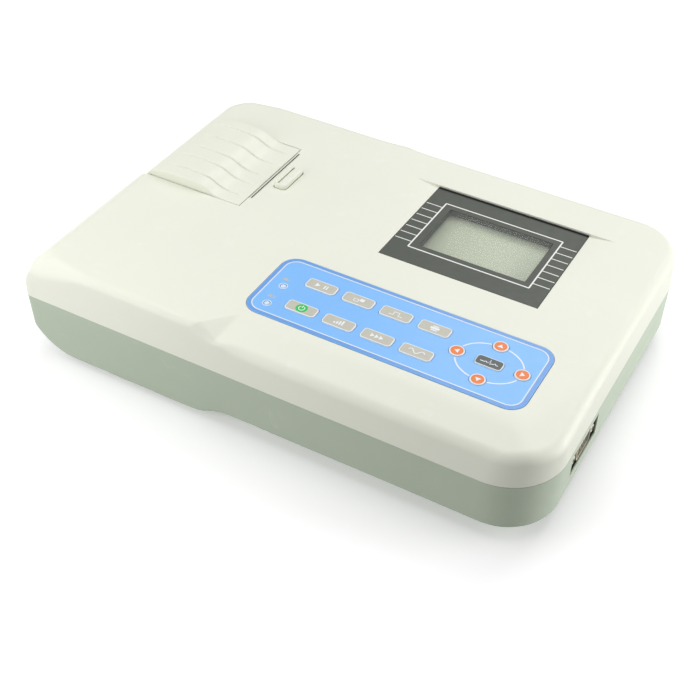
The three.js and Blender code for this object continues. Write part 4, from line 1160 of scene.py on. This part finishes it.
def polygon(points, margin):
    """Shrinks a convex polygon about its centre by about margin."""
    cx, cz = sum(p[0] for p in points) / len(points), sum(p[1] for p in points) / len(points)
    result = []
    for x, z in points:
        d = math.hypot(x - cx, z - cz)
        result.append((x - (x - cx) / d * margin, z - (z - cz) / d * margin))
    return result


def mains_inlet():
    x, z = INLET_X, REAR_Z
    flange = [(x - 25, z), (x - 17, z - 11.4), (x + 17, z - 11.4), (x + 25, z), (x + 17, z + 11.4),
              (x - 17, z + 11.4)]
    mouth = [(x - 12, z - 7.8), (x + 12, z - 7.8), (x + 12, z + 4), (x + 8, z + 7.8), (x - 8, z + 7.8),
             (x - 12, z + 4)]
    thick = 1.8
    shape = rear_plate(lambda m: [polygon(flange, m), polygon(mouth, -m)], REAR_FACE, REAR_FACE + thick, 0.4)
    body = build("mains_inlet", shape, ["black", "tin"])
    hood = build("hood", rear_box(x, 13.6, 78, 104.2, 9.9), ["black"])
    combine(hood, [side_prism(mouth, 88, 108)], "DIFFERENCE")
    combine(body, [hood], "UNION", 30)
    finish_piece(body, "case", "black_plastic", "ac_inlet")
    pins = Shape()
    for dx, dz in ((-7, -1.5), (0, 2), (7, -1.5)):
        pins.join(box_shape(x + dx - 1, x + dx + 1, 87, 103, z + dz - 2, z + dz + 2, 0.3))
    for dx in (-19.8, 19.8):
        pins.join(screw_head((x + dx, REAR_FACE + thick, z), ALONG_Y, 2.6))
    finish_piece(build("mains_inlet_pins", pins, ["tin", "black"], 30), "case", "connector_metal")


def screw_head(centre, axis, radius):
    """Pan head with a dark cross drawn on it for its recess: painted shade in place of a real recess."""
    profile = ((1, 0), (1, 0.25), (0.93, 0.6), (0.72, 0.88), (0.4, 1.0))
    shape = cylinder(centre, axis, [(radius * share, along) for share, along in profile], 28)
    n, base = Vector(axis).normalized(), Vector(centre)
    side = Vector((0, 0, 1)).cross(n) if abs(n.z) < 0.9 else Vector((1, 0, 0))
    other = n.cross(side)
    for a, b in ((side, other), (other, side)):
        ring = [a * radius * 0.55 * s + b * radius * 0.12 * t
                for s, t in ((-1, -1), (1, -1), (1, 1), (-1, 1))]
        shape.join(ring_solid([[base + p + n * height for p in ring] for height in (0.95, 1.03)], 1))
    return shape


def power_switch():
    x, z = SWITCH_X, REAR_Z
    shape = rear_plate(lambda m: [rounded(x - 12, x + 12, z - 8.6, z + 8.6, 1.5, -m, 5),
                                  rounded(x - 9.4, x + 9.4, z - 6, z + 6, 0.6, m, 3)],
                       REAR_FACE, REAR_FACE + 1.4, 0.35)
    body = build("switch_frame", shape, ["black"])
    hood = build("hood", rear_box(x, 10.6, 86, 104.3, 7.2), ["black"])
    combine(hood, [rear_box(x, 9.4, 92, 108, 6)], "DIFFERENCE")
    combine(body, [hood], "UNION", 30)
    finish_piece(body, "case", "black_plastic", "rocker_frame")

    section = [(8.4, -2), (8.4, 4.0), (8.0, 4.2), (4, 3.05), (0, 2.4), (-4, 3.05), (-8.0, 4.2), (-8.4, 4.0),
               (-8.4, -2), (-3, -6.5), (3, -6.5)]
    c, s = polar(1, math.radians(8))

    def turned(a, b):
        """A point of the rocker, a along it and b outwards, in its resting position."""
        return x + a * c - b * s, 101.8 + a * s + b * c

    rings = []
    for shrink, dz in ((0.3, -5.6), (0.08, -5.35), (0, -5.0), (0, 5.0), (0.08, 5.35), (0.3, 5.6)):
        rings.append([(*turned(a * (1 - shrink / 8), b - (shrink if b > 0 else 0)), z + dz)
                      for a, b in section])
    shape = ring_solid(rings)
    for a, w, rise, fall in ((5.2, 0.5, 0.02, 0.29), (-5.2, 2.0, 0.06, -0.29)):
        px, py = turned(a, 3.4)
        mark = []
        for t in np.linspace(0, TAU, 24, endpoint=False):
            run = w * 0.9 * math.cos(t)
            mark.append((px + run * c, py + run * s + 0.04 + rise + run * c * fall, z + 2.0 * math.sin(t)))
        shape.join(ring_solid([[(qx, qy - 0.3, qz) for qx, qy, qz in mark], mark], 1))
    rocker = build("rocker_cap", shape, ["black", "white_ink"], 30)
    finish_piece(rocker, "rocker", "black_plastic", "power_rocker")


def rear_fittings():
    knob = cylinder((FUSE_X, 84, REAR_Z), ALONG_Y,
                    [(5.4, 0), (6.0, 0.6), (6.0, 19.4), (7.6, 19.4), (7.6, 22.2), (7.2, 22.8), (6.4, 23.0)])
    body = build("fuse_holder_cap", knob, ["black"])
    combine(body, [rear_box(FUSE_X, 4.5, 105.8, 108, 0.7)], "DIFFERENCE", 30)
    finish_piece(body, "case", "black_plastic", "fuse_cap")
    post = Shape()
    for y, profile, sides in ((92, [(2.6, 0), (3.0, 0.4), (3.0, 14.2), (2.8, 14.6), (2.2, 15)], 40),
                              (REAR_FACE, [(4.7, 0), (5.0, 0.15), (5.0, 1.05), (4.6, 1.2)], 6),
                              (REAR_FACE + 1.2, [(3.9, 0), (3.9, 0.3), (3.7, 0.45)], 36)):
        post.join(cylinder((EARTH_X, y, REAR_Z), ALONG_Y, profile, sides))
    finish_piece(build("equipotential_stud", post, ["tin"], 30), "case", "connector_metal", "ground_post")


def feet():
    profile = [(2.2, 1.2), (2.6, 1.0), (2.8, 0.3), (3.2, 0.0), (5.6, 0.0), (6.1, 0.25), (6.4, 0.8),
               (6.8, 2.8), (6.8, 3.2)]
    for name, (x, y) in FEET.items():
        pad = build(name + "_pad", cylinder((x, y, 0), UP, profile), ["foot"], 30)
        finish_piece(pad, "case", "foot_rubber", name)


def underside():
    lid = stacked(lambda m: rounded(-97.7, -46.3, -89.7, -42.3, 1.3, m, 4),
                  [(-0.35, LEFT_BOTTOM), (-0.1, LEFT_BOTTOM + 0.12), (0, LEFT_BOTTOM + 0.4), (0, 7.8)])
    body = build("battery_lid", lid, ["sage"])
    cut = [box_shape(-80, -64, y, y + 0.5, 2, LEFT_BOTTOM + 0.45) for y in (-49.4, -48.5, -47.6, -46.7)]
    cut.append(cylinder((LID_X, LID_SCREW_Y, LEFT_BOTTOM - 0.6), UP, [(3.4, 0), (3.4, 1.7)], 32))
    combine(body, cut, "DIFFERENCE", 30)
    finish_piece(body, "case", "sage_plastic", "battery_cover")
    heads = Shape()
    for x, y in SCREWS:
        heads.join(screw_head((x, y, low_side(x) + 1.7), (0, 0, -1), 2.7))
    heads.join(screw_head((LID_X, LID_SCREW_Y, LEFT_BOTTOM + 1.1), (0, 0, -1), 2.5))
    finish_piece(build("case_screws", heads, ["zinc", "black"], 30), "case", "steel")


# ---------------------------------------------------------------- printer
def coil(axis, centre, start, end, radius, wire_radius, turns):
    steps, sides = turns * 24, 8
    rings = []
    for k in range(steps + 1):
        t = k / steps
        a = TAU * turns * t
        run = start + wire_radius + (end - start - 2 * wire_radius) * t
        ring = []
        for q in range(sides):
            b = TAU * q / sides
            r = radius + wire_radius * math.cos(b)
            h = run + wire_radius * math.sin(b)
            u, v = centre[0] + r * math.cos(a), centre[1] + r * math.sin(a)
            ring.append((h, u, v) if axis == "x" else (u, v, h))
        rings.append(ring)
    return ring_solid(rings)


def springs():
    piece = build("button_return_coil", coil("z", (-67.9, 27.8), 47.2, 52.6, 2, 0.3, 4), ["spring"], 60)
    finish_piece(piece, "case", "spring_steel", "button_spring")
    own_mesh(piece)
    piece = build("latch_return_coil", coil("x", (18, 50.2), -60.8, -54.2, 2, 0.3, 4), ["spring"], 60)
    finish_piece(piece, "case", "spring_steel", "latch_spring")
    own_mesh(piece)
    for name, y in (("front", 16), ("back", 50)):
        piece = build(f"head_coil_{name}", coil("x", (y, 44.2), -72.3, -63.7, 2.4, 0.35, 4), ["spring"], 60)
        finish_piece(piece, "case", "spring_steel", f"head_spring_{name}")
        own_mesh(piece)


def paper():
    x, y, z = -110, 8.3, 36.5
    roll = cylinder((x, y, z), ALONG_Y, [(8.2, 0.15), (8.4, 0), (18.8, 0), (19, 0.15), (19, 49.85),
                                         (18.8, 50), (8.4, 50), (8.2, 49.85)], 96)
    core = cylinder((x, y, z), ALONG_Y, [(6.3, 0.4), (6.5, 0.1), (8.0, 0.1), (8.15, 0.4), (8.15, 49.6),
                                         (8.0, 49.9), (6.5, 49.9), (6.3, 49.6)], 64, 1)
    tube = ring_tube(roll).join(ring_tube(core))
    supply = build("paper_supply", tube, ["paper", "key_beige"], 30)
    finish_piece(supply, "paper", "thermal_paper", "paper_roll")
    rod = cylinder((x, 4.3, z), ALONG_Y, [(2.6, 0), (3, 0.4), (3, 3.7), (6, 3.7), (6, 54.4), (3, 54.4),
                                          (3, 57.7), (2.6, 58.1)], 40)
    finish_piece(build("paper_spindle_rod", rod, ["black"], 30), "paper", "black_plastic", "paper_spindle")


def ring_tube(shape):
    """Turns a capped turned solid with a profile of eight points into a tube."""
    shape.faces, shape.paint = shape.faces[:-2], shape.paint[:-2]
    sides = len(shape.points) // 8
    last = 7 * sides
    for i in range(sides):
        j = (i + 1) % sides
        shape.faces.append((last + i, last + j, j, i))
        shape.paint.append(shape.paint[0])
    return shape


def platen():
    body = cylinder((PLATEN_X, 8.5, PLATEN_Z), ALONG_Y, [(2.3, 0), (4.2, 0), (4.5, 0.3), (4.5, 49.7),
                                                         (4.2, 50), (2.3, 50), (2.3, 30), (2.3, 20)], 64)
    sleeve = build("platen_sleeve", ring_tube(body), ["platen"], 30)
    finish_piece(sleeve, "platen", "platen_rubber", "platen_roller")
    rod = cylinder((PLATEN_X, -1.2, PLATEN_Z), ALONG_Y, [(1.7, 0), (2, 0.3), (2, 6.1), (2.6, 6.1), (2.6, 6.7),
                                                         (2, 6.7), (2, 65.2), (1.7, 65.5)], 40)
    finish_piece(build("platen_axle", rod, ["steel"], 30), "platen", "steel", "platen_shaft")


top_case()
bottom_case()
recorder_cover()
tear_edge()
release_button()
display_panel()
keypad_film()
keys()
patient_socket()
mains_inlet()
power_switch()
rear_fittings()
feet()
underside()
springs()
paper()
platen()


# ---------------------------------------------------------------- stage and light
def floor():
    mesh = bpy.data.meshes.new("floor")
    mesh.from_pydata([(-3, -3, 0), (3, -3, 0), (3, 3, 0), (-3, 3, 0)], [], [(0, 1, 2, 3)])
    obj = bpy.data.objects.new("floor", mesh)
    bpy.context.scene.collection.objects.link(obj)
    paper_white = material("floor_paper", (0.9, 0.9, 0.9, 1), 0.9, 4, 0.01, 0.005, specular=0.1)
    glow = paper_white.node_tree.nodes["Principled BSDF"]
    glow.inputs["Emission Color"].default_value = (1, 1, 1, 1)
    glow.inputs["Emission Strength"].default_value = 0.22
    mesh.materials.append(paper_white)
    obj.visible_diffuse = False


def softbox(name, azimuth, elevation, distance, size, power, target=(0, 0, 0.03)):
    data = bpy.data.lights.new(name, "AREA")
    data.shape = "RECTANGLE"
    data.size = data.size_y = size
    data.energy = power
    obj = bpy.data.objects.new(name, data)
    bpy.context.scene.collection.objects.link(obj)
    a, e = math.radians(azimuth), math.radians(elevation)
    away = Vector((math.cos(e) * math.cos(a), math.cos(e) * math.sin(a), math.sin(e)))
    obj.location = Vector(target) + away * distance
    obj.rotation_mode = "QUATERNION"
    obj.rotation_quaternion = (-away).to_track_quat("-Z", "Y")


floor()
softbox("overhead", 0, 89.9, 1.5, 1.2, 4.8)
softbox("back", 90, 50, 1.5, 0.9, 7.2)
softbox("front_left", 225, 20, 1.5, 0.8, 2.2)
softbox("left", 185, 45, 1.2, 0.8, 2.7)
softbox("left_kicker", 250, 22, 0.42, 0.25, 0.64, (-0.14, 0, 0.03))
softbox("right_kicker", 20, 13, 0.5, 0.3, 2.0, (0.14, 0.05, 0.03))
world = bpy.data.worlds.new("world")
world.use_nodes = True
world.node_tree.nodes["Background"].inputs["Color"].default_value = (1, 1, 1, 1)
world.node_tree.nodes["Background"].inputs["Strength"].default_value = 0.335
bpy.context.scene.world = world
